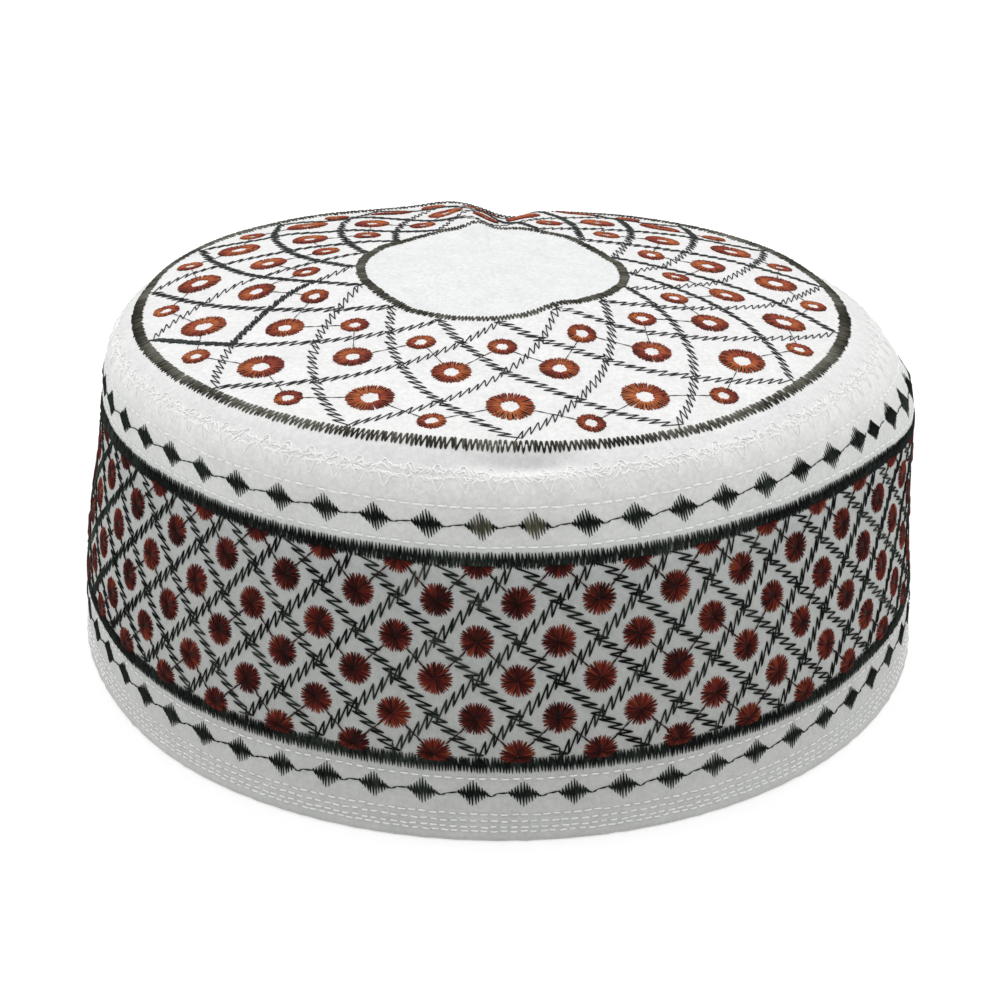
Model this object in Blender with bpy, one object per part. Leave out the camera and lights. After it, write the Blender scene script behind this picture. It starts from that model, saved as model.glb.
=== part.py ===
"""Embroidered round prayer cap: a stiffened cloth band with a soft domed crown.

The cap stands on its hem with +Z up and its front towards -Y. Angles run anticlockwise from +X, seen from
above. Sizes are written in millimetres and turned into metres where the meshes are made.
"""
import math

import bmesh
import bpy
from mathutils import Vector

for old_object in list(bpy.data.objects):
    bpy.data.objects.remove(old_object, do_unlink=True)

# Driving dimensions, in millimetres
MM = 0.001
HEM_RADIUS = 95.0
SIDE_WIDENING = 1.0
WIDENING_ENDS = (30.0, 62.0)
BAND_WALL = 2.5
CROWN_WALL = 2.0
SEAM_HEIGHT = 77.0
SEAM_RADIUS = 83.9
UPPER_BORDER_HEIGHT = 60.6
LOWER_BORDER_HEIGHT = 17.5
CROWN_BORDER_RADIUS = 78.1
CENTRE_BORDER_RADIUS = 29.0
CROWN_TOP_HEIGHT = 87.4
CROWN_SHIFT_X = -1.6
DOME_POWER = 0.85
EDGE_ROLL_POWER = 1.2
LEAN_POWER = 2.0

# Raised stitching, in millimetres
STITCH_GAP = 0.3
BORDER_THICKNESS = 0.6
BAND_BORDER_WIDTH = 3.0
CROWN_BORDER_WIDTH = 2.6
CENTRE_BORDER_WIDTH = 2.2
SEAM_STITCH_WIDTH = 2.0
SEAM_STITCH_THICKNESS = 0.8

# Mesh fineness
SEGMENTS = 72
STEP = 360.0 / SEGMENTS
NORMAL_STEP = 0.25
SHARP_ANGLE = 40.0
CROWN_ROWS = (82.6, 81.2, 79.4, 76.8, 70.0, 62.0, 54.0, 46.0, 38.0, 30.1, 27.9, 20.0, 12.0, 5.0)
CROWN_INNER_ROWS = (80.8, 76.0, 66.0, 54.0, 42.0, 30.0, 18.0, 7.0)
BAND_ROWS = (0.0, 4.0, 15.3, 18.3, 32.0, 46.0, 59.1, 62.1, 65.4, 68.6, 71.6, 74.4)
BAND_INNER_ROWS = (71.6, 62.0, 46.0, 30.0, 15.0)

# Outer radius of the band by its height in front
BAND_PROFILE = (
    # height, radius
    (0.0, HEM_RADIUS),
    (28.0, 92.3),
    (46.0, 89.7),
    (UPPER_BORDER_HEIGHT, 87.3),
    (67.5, 86.3),
    (72.2, 85.4),
    (SEAM_HEIGHT, SEAM_RADIUS),
)

# Heights round the cap: the crown leans down towards the back
RIM_HEIGHTS = (
    # angle, seam, crown border, centre border
    (0, 73.0, 76.3, 84.2),
    (30, 69.4, 73.6, 83.6),
    (60, 66.8, 71.7, 84.0),
    (90, 66.3, 71.0, 84.2),
    (120, 68.4, 72.8, 83.9),
    (150, 70.8, 75.0, 84.8),
    (180, 73.6, 77.0, 86.0),
    (210, 76.2, 79.5, 86.2),
    (240, 77.4, 81.1, 85.8),
    (270, 76.9, 81.0, 86.4),
    (300, 76.9, 79.2, 87.2),
    (330, 76.0, 79.2, 86.2),
)

# Soft creases of the crown along radial lines: their rise comes and goes between four radii
CROWN_CREASES = (
    # angle, rise, spread in degrees, starts, full from, full to, ends
    (98.0, 1.5, 6.0, 2.0, 8.0, 90.0, 120.0),
    (87.0, -2.2, 5.0, 18.0, 62.0, 90.0, 120.0),
    (297.0, 1.3, 10.0, 2.0, 6.0, 34.0, 46.0),
    (190.0, 0.5, 16.0, 3.0, 10.0, 45.0, 60.0),
)

# Places where the band is pushed out of round, or drawn in
BAND_BULGES = (
    # angle, height, push, spread in degrees, spread in height
    (4.0, 58.0, 4.4, 27.0, 18.0),
    (345.0, 64.0, 1.6, 20.0, 9.0),
    (40.0, 77.0, -2.2, 26.0, 9.0),
    (92.0, 77.0, -2.6, 40.0, 9.0),
    (165.0, 77.0, -1.6, 38.0, 9.0),
    (183.0, 63.0, 0.9, 24.0, 13.0),
    (205.0, 2.0, -1.0, 17.0, 14.0),
)

# On the right side the upper part of the embroidery has slid down the cloth
SLIDE_DEPTH = 5.0
SLIDE_ANGLE = 2.0
SLIDE_SPREAD = 20.0
SLIDE_RISE = (17.0, 60.0)
SLIDE_END = (62.0, SEAM_HEIGHT)

CLOTH_WHITE = (0.86, 0.87, 0.86, 1.0)
CROWN_WHITE = (0.90, 0.91, 0.90, 1.0)
THREAD_WHITE = (0.95, 0.95, 0.94, 1.0)
THREAD_OLIVE = (0.10, 0.09, 0.06, 1.0)
THREAD_DARK_GREEN = (0.02, 0.03, 0.03, 1.0)
CLOTH_ROUGHNESS = 0.9
SATIN_ROUGHNESS = 0.5


def thread_material(name, colour, roughness):
    """A matt cloth or thread material in one colour."""
    material = bpy.data.materials.new(name)
    material.use_nodes = True
    shader = material.node_tree.nodes["Principled BSDF"]
    shader.inputs["Base Color"].default_value = colour
    shader.inputs["Roughness"].default_value = roughness
    shader.inputs["Metallic"].default_value = 0.0
    material.diffuse_color = colour
    return material


def smooth_step(low, high, value):
    """0 below low, 1 above high, with a soft change between them."""
    share = min(1.0, max(0.0, (value - low) / (high - low)))
    return share * share * (3.0 - 2.0 * share)


def turn_between(angle, centre):
    """Signed difference of two angles in degrees, from -180 to 180."""
    return (angle - centre + 180.0) % 360.0 - 180.0


def smooth_curve(start, end, rise_start, rise_end, share):
    """A cubic between two values with the given rises at its ends."""
    cubic = 2.0 * start - 2.0 * end + rise_start + rise_end
    square = -3.0 * start + 3.0 * end - 2.0 * rise_start - rise_end
    return ((cubic * share + square) * share + rise_start) * share + start


def rim_height(angle, column):
    """A height of RIM_HEIGHTS at any angle, on a smooth closed curve through the table's rows."""
    count = len(RIM_HEIGHTS)
    place = (angle % 360.0) * count / 360.0
    row = int(place)
    share = place - row
    before, start, end, after = (RIM_HEIGHTS[(row + step) % count][column] for step in (-1, 0, 1, 2))
    return smooth_curve(start, end, (end - before) / 2.0, (after - start) / 2.0, share)


def crease_rise(angle, radius):
    """How far the crown's creases lift or lower it at a place."""
    total = 0.0
    for centre, rise, width, start, full_from, full_to, end in CROWN_CREASES:
        across = turn_between(angle, centre) / width
        reach = smooth_step(start, full_from, radius) * (1.0 - smooth_step(full_to, end, radius))
        total += rise * math.exp(-across * across) * reach
    return total


def band_radius(height):
    """Outer radius of the unpushed band at a height in front."""
    rows = len(BAND_PROFILE)
    row = max(number for number in range(rows - 1) if number == 0 or BAND_PROFILE[number][0] <= height)
    slopes = []
    for number in (row, row + 1):
        low, low_radius = BAND_PROFILE[max(number - 1, 0)]
        high, high_radius = BAND_PROFILE[min(number + 1, rows - 1)]
        slopes.append((high_radius - low_radius) / (high - low))
    (low, start), (high, end) = BAND_PROFILE[row:row + 2]
    step = high - low
    return smooth_curve(start, end, slopes[0] * step, slopes[1] * step, (height - low) / step)


def slid_height(angle, height):
    """Where a height of the embroidery comes to lie after the slide on the right side."""
    across = turn_between(angle, SLIDE_ANGLE) / SLIDE_SPREAD
    share = smooth_step(*SLIDE_RISE, height) * (1.0 - smooth_step(*SLIDE_END, height))
    return height - SLIDE_DEPTH * math.exp(-across * across) * share


def band_point(angle, height):
    """Outer face of the band. The height is the one in front, from the hem to the seam."""
    height = slid_height(angle, height)
    radius = band_radius(height)
    sideways = math.cos(math.radians(angle)) ** 2
    radius += SIDE_WIDENING * sideways * (1.0 - smooth_step(*WIDENING_ENDS, height))
    for centre, centre_height, push, spread, height_spread in BAND_BULGES:
        across = turn_between(angle, centre) / spread
        along = (height - centre_height) / height_spread
        radius += push * math.exp(-across * across - along * along)
    drop = SEAM_HEIGHT - rim_height(angle, 1) - crease_rise(angle, SEAM_RADIUS)
    level = height - drop * (height / SEAM_HEIGHT) ** LEAN_POWER
    shift = CROWN_SHIFT_X * smooth_step(UPPER_BORDER_HEIGHT, SEAM_HEIGHT, height)
    turn = math.radians(angle)
    return Vector((shift + radius * math.cos(turn), radius * math.sin(turn), level))


def crown_point(angle, radius):
    """Upper face of the crown at a nominal radius, from the centre to the seam."""
    border = rim_height(angle, 2)
    centre_border = rim_height(angle, 3)
    spread = radius
    if radius > CROWN_BORDER_RADIUS:
        share = (radius - CROWN_BORDER_RADIUS) / (SEAM_RADIUS - CROWN_BORDER_RADIUS)
        seam = band_point(angle, SEAM_HEIGHT)
        seam_radius = math.hypot(seam.x - CROWN_SHIFT_X, seam.y)
        border += crease_rise(angle, CROWN_BORDER_RADIUS)
        spread = CROWN_BORDER_RADIUS + share * (seam_radius - CROWN_BORDER_RADIUS)
        level = border + (seam.z - border) * share ** EDGE_ROLL_POWER
    elif radius > CENTRE_BORDER_RADIUS:
        share = (CROWN_BORDER_RADIUS - radius) / (CROWN_BORDER_RADIUS - CENTRE_BORDER_RADIUS)
        level = border + (centre_border - border) * share ** DOME_POWER + crease_rise(angle, radius)
    else:
        share = smooth_step(0.0, CENTRE_BORDER_RADIUS, CENTRE_BORDER_RADIUS - radius)
        level = centre_border + (CROWN_TOP_HEIGHT - centre_border) * share + crease_rise(angle, radius)
    turn = math.radians(angle)
    return Vector((CROWN_SHIFT_X + spread * math.cos(turn), spread * math.sin(turn), level))


def lifted(surface, angle, place, lift):
    """A point of a surface, moved along its outward normal."""
    point = surface(angle, place)
    along = surface(angle, place + NORMAL_STEP) - surface(angle, place - NORMAL_STEP)
    around = surface(angle + NORMAL_STEP, place) - surface(angle - NORMAL_STEP, place)
    normal = around.cross(along).normalized()
    outward = Vector((math.cos(math.radians(angle)), math.sin(math.radians(angle)), 1.0))
    if normal.dot(outward) < 0.0:
        normal = -normal
    return point + normal * lift


def ring_of(surface, place, lift):
    """One loop of points round the cap."""
    return [lifted(surface, number * STEP, place, lift) for number in range(SEGMENTS)]


def step_number(corner):
    """Which step of the circle a corner of a round loop stands on."""
    return round(math.atan2(corner.co.y, corner.co.x) / math.tau * SEGMENTS) % SEGMENTS


def lay_rings(mesh, rings):
    """Extrude a circle of edges through all the rings and return the first and the last loop's edges."""
    corners = bmesh.ops.create_circle(mesh, segments=SEGMENTS, radius=1.0, cap_ends=False)["verts"]
    edges = first_edges = list(mesh.edges)
    ordered = sorted(corners, key=step_number)
    for corner, point in zip(ordered, rings[0]):
        corner.co = point * MM
    for ring in rings[1:]:
        grown = bmesh.ops.extrude_edge_only(mesh, edges=edges)["geom"]
        fresh = {item for item in grown if isinstance(item, bmesh.types.BMVert)}
        edges = [item for item in grown if isinstance(item, bmesh.types.BMEdge)]
        edges = [edge for edge in edges if fresh.issuperset(edge.verts)]
        ordered = [edge.other_vert(corner) for corner in ordered for edge in corner.link_edges
                   if edge.other_vert(corner) in fresh]
        for corner, point in zip(ordered, ring):
            corner.co = point * MM
    return first_edges, edges


def finish_part(name, mesh, colour, roughness):
    """Turn the faces outward and make the named object with its own material."""
    bmesh.ops.recalc_face_normals(mesh, faces=mesh.faces)
    data = bpy.data.meshes.new(name)
    mesh.to_mesh(data)
    mesh.free()
    data.shade_smooth()
    data.set_sharp_from_angle(angle=math.radians(SHARP_ANGLE))
    data.materials.append(thread_material(name, colour, roughness))
    part = bpy.data.objects.new(name, data)
    bpy.context.collection.objects.link(part)
    return part


def seam_ring(lift, slide):
    """One loop along the seam, lifted between the band's and the crown's normals and slid up the cloth."""
    ring = []
    for number in range(SEGMENTS):
        angle = number * STEP
        seam = band_point(angle, SEAM_HEIGHT)
        from_band = lifted(band_point, angle, SEAM_HEIGHT, 1.0) - seam
        from_crown = lifted(crown_point, angle, SEAM_RADIUS, 1.0) - seam
        normal = (from_band + from_crown).normalized()
        around = Vector((-math.sin(math.radians(angle)), math.cos(math.radians(angle)), 0.0))
        upward = normal.cross(around).normalized()
        ring.append(seam + normal * lift + upward * slide)
    return ring


def make_side_band():
    """Hollow cloth wall from the flat hem to the seam."""
    slide = -STITCH_GAP / 2.0
    outside = [ring_of(band_point, height, 0.0) for height in BAND_ROWS]
    edge = [seam_ring(0.0, slide), seam_ring(-BAND_WALL, slide)]
    inside = [ring_of(band_point, height, -BAND_WALL) for height in BAND_INNER_ROWS]
    hem_inside = [Vector((point.x, point.y, 0.0)) for point in ring_of(band_point, 0.0, -BAND_WALL)]
    mesh = bmesh.new()
    first, last = lay_rings(mesh, outside + edge + inside + [hem_inside])
    bmesh.ops.bridge_loops(mesh, edges=first + last)
    return finish_part("side_band", mesh, CLOTH_WHITE, CLOTH_ROUGHNESS)


def close_with_pole(mesh, edges, point):
    """Close a small loop with a fan of triangles round its middle point."""
    cap = bmesh.ops.contextual_create(mesh, geom=edges)["faces"]
    middle = bmesh.ops.poke(mesh, faces=cap)["verts"][0]
    middle.co = point * MM


def make_crown_top():
    """Domed cloth top with its creases, closed at the centre above and below."""
    slide = STITCH_GAP / 2.0
    upper = [ring_of(crown_point, radius, 0.0) for radius in reversed(CROWN_ROWS)]
    edge = [seam_ring(0.0, slide), seam_ring(-CROWN_WALL, slide)]
    lower = [ring_of(crown_point, radius, -CROWN_WALL) for radius in CROWN_INNER_ROWS]
    mesh = bmesh.new()
    first, last = lay_rings(mesh, upper + edge + lower)
    centre = Vector((CROWN_SHIFT_X, 0.0, CROWN_TOP_HEIGHT))
    close_with_pole(mesh, first, centre)
    close_with_pole(mesh, last, centre - Vector((0.0, 0.0, CROWN_WALL)))
    return finish_part("crown_top", mesh, CROWN_WHITE, CLOTH_ROUGHNESS)


def make_stitched_ring(name, surface, place, width, thickness, colour, roughness):
    """A thin raised ring of stitching that follows the cloth under it."""
    low = place - width / 2.0
    high = place + width / 2.0
    top = STITCH_GAP + thickness
    section = ((low, STITCH_GAP), (high, STITCH_GAP), (high, top), (low, top))
    mesh = bmesh.new()
    first, last = lay_rings(mesh, [ring_of(surface, at, lift) for at, lift in section])
    bmesh.ops.bridge_loops(mesh, edges=first + last)
    return finish_part(name, mesh, colour, roughness)


def make_crown_seam():
    """The raised line of stitches that covers the butted edges of crown and band."""
    low = SEAM_HEIGHT - SEAM_STITCH_WIDTH / 2.0
    high = SEAM_RADIUS - SEAM_STITCH_WIDTH / 2.0
    top = STITCH_GAP + SEAM_STITCH_THICKNESS
    section = [
        ring_of(band_point, low, STITCH_GAP),
        ring_of(band_point, low, top),
        seam_ring(top, 0.0),
        ring_of(crown_point, high, top),
        ring_of(crown_point, high, STITCH_GAP),
        seam_ring(STITCH_GAP, 0.0),
    ]
    mesh = bmesh.new()
    first, last = lay_rings(mesh, section)
    bmesh.ops.bridge_loops(mesh, edges=first + last)
    return finish_part("crown_seam", mesh, THREAD_WHITE, CLOTH_ROUGHNESS)


make_side_band()
make_crown_top()
make_crown_seam()
make_stitched_ring("crown_outer_border", crown_point, CROWN_BORDER_RADIUS, CROWN_BORDER_WIDTH,
                   BORDER_THICKNESS, THREAD_OLIVE, SATIN_ROUGHNESS)
make_stitched_ring("crown_centre_border", crown_point, CENTRE_BORDER_RADIUS, CENTRE_BORDER_WIDTH,
                   BORDER_THICKNESS, THREAD_OLIVE, SATIN_ROUGHNESS)
make_stitched_ring("band_upper_border", band_point, UPPER_BORDER_HEIGHT, BAND_BORDER_WIDTH,
                   BORDER_THICKNESS, THREAD_DARK_GREEN, SATIN_ROUGHNESS)
make_stitched_ring("band_lower_border", band_point, LOWER_BORDER_HEIGHT, BAND_BORDER_WIDTH,
                   BORDER_THICKNESS, THREAD_DARK_GREEN, SATIN_ROUGHNESS)
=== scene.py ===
import math

import bpy
import numpy as np
from mathutils import Matrix, Vector


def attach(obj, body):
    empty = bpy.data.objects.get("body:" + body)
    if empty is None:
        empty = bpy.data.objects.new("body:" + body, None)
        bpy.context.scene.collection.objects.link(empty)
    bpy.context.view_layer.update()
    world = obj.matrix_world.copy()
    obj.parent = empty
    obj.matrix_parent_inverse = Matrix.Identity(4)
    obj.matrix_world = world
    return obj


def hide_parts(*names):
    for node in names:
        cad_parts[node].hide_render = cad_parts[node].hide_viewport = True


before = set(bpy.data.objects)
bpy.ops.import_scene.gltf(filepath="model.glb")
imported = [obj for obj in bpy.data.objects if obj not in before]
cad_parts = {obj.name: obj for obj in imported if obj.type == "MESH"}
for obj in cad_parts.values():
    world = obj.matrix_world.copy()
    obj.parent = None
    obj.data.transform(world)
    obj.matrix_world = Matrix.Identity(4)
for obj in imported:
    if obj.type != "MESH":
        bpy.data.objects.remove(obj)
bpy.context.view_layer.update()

# Camera.
# It stands in front of the cap and a little above it, as the photograph was taken, tipped down by about
# 27 degrees. Its place, tilt and lens come from the ellipses that the hem and the borders make.
CAMERA_PLACE = (0.0004, -0.5035, 0.2900)
CAMERA_PITCH = 62.55
CAMERA_ROLL = 0.42
CAMERA_LENS = 88.58
CAMERA_SENSOR = 36.0

camera_data = bpy.data.cameras.new("camera")
camera_data.lens = CAMERA_LENS
camera_data.sensor_width = CAMERA_SENSOR
camera = bpy.data.objects.new("camera", camera_data)
bpy.context.collection.objects.link(camera)
camera_pitch = Matrix.Rotation(math.radians(CAMERA_PITCH), 4, "X")
camera_roll = Matrix.Rotation(math.radians(CAMERA_ROLL), 4, "Z")
camera.matrix_world = Matrix.Translation(CAMERA_PLACE) @ camera_pitch @ camera_roll
bpy.context.scene.camera = camera
bpy.context.scene.view_settings.view_transform = "Standard"

# Floor and light.
# The photograph was taken against white. The light is soft and comes from above and from both sides, so the
# crown is bright, the sides of the band less so, and its front, which faces the camera, is the dullest.
# The white floor glows a little by itself, which keeps the shadow under the cap faint.
FLOOR_SIZE = 24.0
FLOOR_WHITE = (0.62, 0.62, 0.62)
FLOOR_GLOW = 0.50
FLOOR_ROUGHNESS = 0.9
FLOOR_SHINE = 0.1
SKY_STRENGTH = 0.22
LAMPS = (
    # name, place, size, power
    ("top_lamp", (0.0, 0.25, 2.4), 3.2, 62.0),
    ("left_lamp", (-1.6, 0.1, 0.8), 1.4, 6.8),
    ("right_lamp", (1.6, 0.0, 0.8), 1.4, 6.4),
)


def new_material(name, colour, roughness, sheen=0.0, shine=0.25):
    """A Principled material, with its node tree and its shader."""
    material = bpy.data.materials.new(name)
    material.use_nodes = True
    shader = material.node_tree.nodes["Principled BSDF"]
    shader.inputs["Base Color"].default_value = (*colour, 1.0)
    shader.inputs["Roughness"].default_value = roughness
    shader.inputs["Sheen Weight"].default_value = sheen
    shader.inputs["Specular IOR Level"].default_value = shine
    return material, material.node_tree, shader


bpy.ops.object.select_all(action="DESELECT")
bpy.ops.mesh.primitive_plane_add(size=FLOOR_SIZE)
floor = bpy.context.object
floor.name = "floor"
floor_paper, _, floor_shader = new_material("white_paper", FLOOR_WHITE, FLOOR_ROUGHNESS, 0.0, FLOOR_SHINE)
floor_shader.inputs["Emission Color"].default_value = (1.0, 1.0, 1.0, 1.0)
floor_shader.inputs["Emission Strength"].default_value = FLOOR_GLOW
floor.data.materials.append(floor_paper)
for name, place, size, power in LAMPS:
    lamp_data = bpy.data.lights.new(name, "AREA")
    lamp_data.size = size
    lamp_data.energy = power
    lamp = bpy.data.objects.new(name, lamp_data)
    bpy.context.collection.objects.link(lamp)
    lamp.location = place
    lamp.rotation_euler = (-Vector(place)).to_track_quat("-Z", "Y").to_euler()
sky = bpy.data.worlds.new("sky")
bpy.context.scene.world = sky
sky.use_nodes = True
sky.node_tree.nodes["Background"].inputs["Color"].default_value = (1.0, 1.0, 1.0, 1.0)
sky.node_tree.nodes["Background"].inputs["Strength"].default_value = SKY_STRENGTH

# Side band.
# The real band is one strip of white cotton, stiffened, closed into a ring, with its lower edge turned up
# and sewn flat. It narrows towards the top, where it rolls in over a shoulder and meets the crown.
# It starts as a ring of edges, is extruded row by row, laid on the band's form and given its thickness.
MM = 0.001
HEM_RADIUS = 95.0
SIDE_WIDENING = 1.0
WIDENING_ENDS = (30.0, 62.0)
BAND_WALL = 2.5
SEAM_HEIGHT = 77.0
SEAM_RADIUS = 83.9
UPPER_BORDER_HEIGHT = 60.6
CROWN_SHIFT_X = -1.6
LEAN_POWER = 2.0

# Outer radius of the band by its height in front
BAND_PROFILE = np.array((
    # height, radius
    (0.0, HEM_RADIUS),
    (28.0, 92.3),
    (46.0, 89.7),
    (UPPER_BORDER_HEIGHT, 87.3),
    (67.5, 86.3),
    (72.2, 85.4),
    (SEAM_HEIGHT, SEAM_RADIUS),
))

# Heights round the cap: the crown leans down towards the back
RIM_HEIGHTS = np.array((
    # angle, seam, crown border, centre border
    (0, 73.0, 76.3, 84.2),
    (30, 69.4, 73.6, 83.6),
    (60, 66.8, 71.7, 84.0),
    (90, 66.3, 71.0, 84.2),
    (120, 68.4, 72.8, 83.9),
    (150, 70.8, 75.0, 84.8),
    (180, 73.6, 77.0, 86.0),
    (210, 76.2, 79.5, 86.2),
    (240, 77.4, 81.1, 85.8),
    (270, 76.9, 81.0, 86.4),
    (300, 76.9, 79.2, 87.2),
    (330, 76.0, 79.2, 86.2),
))

# Soft creases of the crown along radial lines: their rise comes and goes between four radii
CROWN_CREASES = (
    # angle, rise, spread in degrees, starts, full from, full to, ends
    (98.0, 1.5, 6.0, 6.0, 26.0, 90.0, 120.0),
    (87.0, -2.2, 5.0, 18.0, 62.0, 90.0, 120.0),
    (297.0, 1.3, 10.0, 4.0, 18.0, 34.0, 46.0),
    (190.0, 0.5, 16.0, 3.0, 10.0, 45.0, 60.0),
)

# Places where the band is pushed out of round, or drawn in
BAND_BULGES = (
    # angle, height, push, spread in degrees, spread in height
    (4.0, 58.0, 4.4, 27.0, 18.0),
    (345.0, 64.0, 1.6, 20.0, 9.0),
    (40.0, 77.0, -1.1, 26.0, 9.0),
    (92.0, 77.0, -2.6, 40.0, 9.0),
    (165.0, 77.0, -1.3, 38.0, 9.0),
    (183.0, 63.0, 0.9, 24.0, 13.0),
    (205.0, 2.0, -1.0, 17.0, 14.0),
)

# On the right side the upper part of the embroidery has slid down the cloth
SLIDE_DEPTH = 5.0
SLIDE_ANGLE = 2.0
SLIDE_SPREAD = 20.0
SLIDE_RISE = (17.0, 60.0)
SLIDE_END = (62.0, SEAM_HEIGHT)


def soft_step(low, high, value):
    """0 below low, 1 above high, with a soft change between them."""
    share = np.clip((value - low) / (high - low), 0.0, 1.0)
    return share * share * (3.0 - 2.0 * share)


def turn_from(angle, centre):
    """Signed difference of two angles in degrees, from -180 to 180."""
    return (angle - centre + 180.0) % 360.0 - 180.0


def smooth_curve(start, end, rise_start, rise_end, share):
    """A cubic between two values with the given rises at its ends."""
    cubic = 2.0 * start - 2.0 * end + rise_start + rise_end
    square = -3.0 * start + 3.0 * end - 2.0 * rise_start - rise_end
    return ((cubic * share + square) * share + rise_start) * share + start


def rim_height(angle, column):
    """A height of RIM_HEIGHTS at any angle, on a smooth closed curve through the table's rows."""
    count = len(RIM_HEIGHTS)
    place = (angle % 360.0) * count / 360.0
    row = np.floor(place).astype(int)
    before, start, end, after = (RIM_HEIGHTS[(row + step) % count, column] for step in (-1, 0, 1, 2))
    return smooth_curve(start, end, (end - before) / 2.0, (after - start) / 2.0, place - row)


def crease_rise(angle, radius):
    """How far the crown's creases lift or lower it at a place."""
    total = np.zeros(np.broadcast(angle, radius).shape)
    for centre, rise, width, start, full_from, full_to, end in CROWN_CREASES:
        across = turn_from(angle, centre) / width
        reach = soft_step(start, full_from, radius) * (1.0 - soft_step(full_to, end, radius))
        total = total + rise * np.exp(-across * across) * reach
    return total


def band_radius(height):
    """Outer radius of the unpushed band at a height in front."""
    levels, radii = BAND_PROFILE[:, 0], BAND_PROFILE[:, 1]
    last = len(levels) - 1
    row = np.clip(np.searchsorted(levels, height, side="right") - 1, 0, last - 1)
    before, after = np.maximum(row - 1, 0), np.minimum(row + 2, last)
    step = levels[row + 1] - levels[row]
    slope_start = (radii[row + 1] - radii[before]) / (levels[row + 1] - levels[before])
    slope_end = (radii[after] - radii[row]) / (levels[after] - levels[row])
    share = (height - levels[row]) / step
    return smooth_curve(radii[row], radii[row + 1], slope_start * step, slope_end * step, share)


def slid_height(angle, height):
    """Where a height of the embroidery comes to lie after the slide on the right side."""
    across = turn_from(angle, SLIDE_ANGLE) / SLIDE_SPREAD
    share = soft_step(*SLIDE_RISE, height) * (1.0 - soft_step(*SLIDE_END, height))
    return height - SLIDE_DEPTH * np.exp(-across * across) * share


def band_form(angle, height):
    """Outer face of the band, in millimetres. The height is the one in front, from hem to seam."""
    height = slid_height(angle, height)
    radius = band_radius(height)
    sideways = np.cos(np.radians(angle)) ** 2
    radius = radius + SIDE_WIDENING * sideways * (1.0 - soft_step(*WIDENING_ENDS, height))
    for centre, centre_height, push, spread, height_spread in BAND_BULGES:
        across = turn_from(angle, centre) / spread
        along = (height - centre_height) / height_spread
        radius = radius + push * np.exp(-across * across - along * along)
    drop = SEAM_HEIGHT - rim_height(angle, 1) - crease_rise(angle, SEAM_RADIUS)
    level = height - drop * np.maximum(height / SEAM_HEIGHT, 0.0) ** LEAN_POWER
    shift = CROWN_SHIFT_X * soft_step(UPPER_BORDER_HEIGHT, SEAM_HEIGHT, height)
    turn = np.radians(angle)
    return np.stack([shift + radius * np.cos(turn), radius * np.sin(turn), level], axis=-1)


# Rows of white running stitches on the band, which draw the cloth in
STITCH_ROWS = (
    # height, depth of the groove, its spread, length of a stitch, pitch of the stitches
    (71.3, 0.16, 0.5, 1.85, 2.46),
    (63.4, 0.14, 0.5, 1.85, 2.46),
    (14.4, 0.14, 0.5, 1.55, 2.28),
    (6.3, 0.26, 0.42, 1.55, 2.1),
    (4.75, 0.26, 0.40, 1.5, 2.05),
    (3.4, 0.26, 0.38, 1.5, 2.05),
    (2.45, 0.24, 0.34, 1.45, 2.0),
)

# Gentle unevenness of hand-ironed cloth: each wave runs round the cap and up it
BAND_WAVES = (
    # waves round the cap, wave length in height, size, phase
    (5, 160.0, 0.22, 0.4),
    (9, 70.0, 0.14, 2.1),
    (14, 48.0, 0.09, 4.4),
    (23, 30.0, 0.05, 1.3),
    (37, 21.0, 0.03, 3.2),
)
HEM_PUCKERS = (
    # waves round the cap, wave length in height, size, phase
    (83, 9.0, 0.06, 0.3),
    (113, -6.0, 0.06, 1.9),
    (139, 5.0, 0.05, 4.0),
)
HEM_PUCKER_TOP = (6.0, 11.0)
SHOULDER_PUCKERS = (
    # waves round the cap, wave length in height, size, phase
    (47, 17.0, 0.08, 2.7),
    (71, -12.0, 0.08, 0.4),
    (101, 9.0, 0.07, 0.8),
    (137, -6.5, 0.05, 1.8),
)
SHOULDER_PUCKER_ENDS = (63.0, 71.0)

# The waves end before the hem and the seam, and the cloth is rounded off at both edges
BAND_WAVES_BEGIN = (0.0, 12.0)
BAND_WAVES_END = (72.0, 77.0)
HEM_ROUNDING = 0.9
HEM_ROUNDING_DEPTH = 0.55
SEAM_ROUNDING = 1.6
SEAM_ROUNDING_DEPTH = 0.35


def waves(table, angle, place):
    """Sum of slanting waves from a table."""
    turn = np.radians(angle)
    total = 0.0
    for count, length, size, phase in table:
        total = total + size * np.sin(count * turn + math.tau * place / length + phase)
    return total


def band_relief(angle, height):
    """Fine height of the band's cloth over its form: unevenness, puckers and stitched grooves."""
    rise = waves(BAND_WAVES, angle, height)
    rise = rise * soft_step(*BAND_WAVES_BEGIN, height) * (1.0 - soft_step(*BAND_WAVES_END, height))
    rise = rise + waves(HEM_PUCKERS, angle, height) * (1.0 - soft_step(*HEM_PUCKER_TOP, height))
    rise = rise + waves(SHOULDER_PUCKERS, angle, height) * soft_step(*SHOULDER_PUCKER_ENDS, height)
    for row_height, depth, spread, _, _ in STITCH_ROWS:
        across = (height - row_height) / spread
        rise = rise - depth * np.exp(-across * across)
    hem = np.clip(1.0 - height / HEM_ROUNDING, 0.0, 1.0)
    seam = np.clip(1.0 - (SEAM_HEIGHT - height) / SEAM_ROUNDING, 0.0, 1.0)
    return rise - HEM_ROUNDING_DEPTH * hem ** 2.5 - SEAM_ROUNDING_DEPTH * seam ** 2


BAND_CLOTH = (band_form, band_relief)


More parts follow.
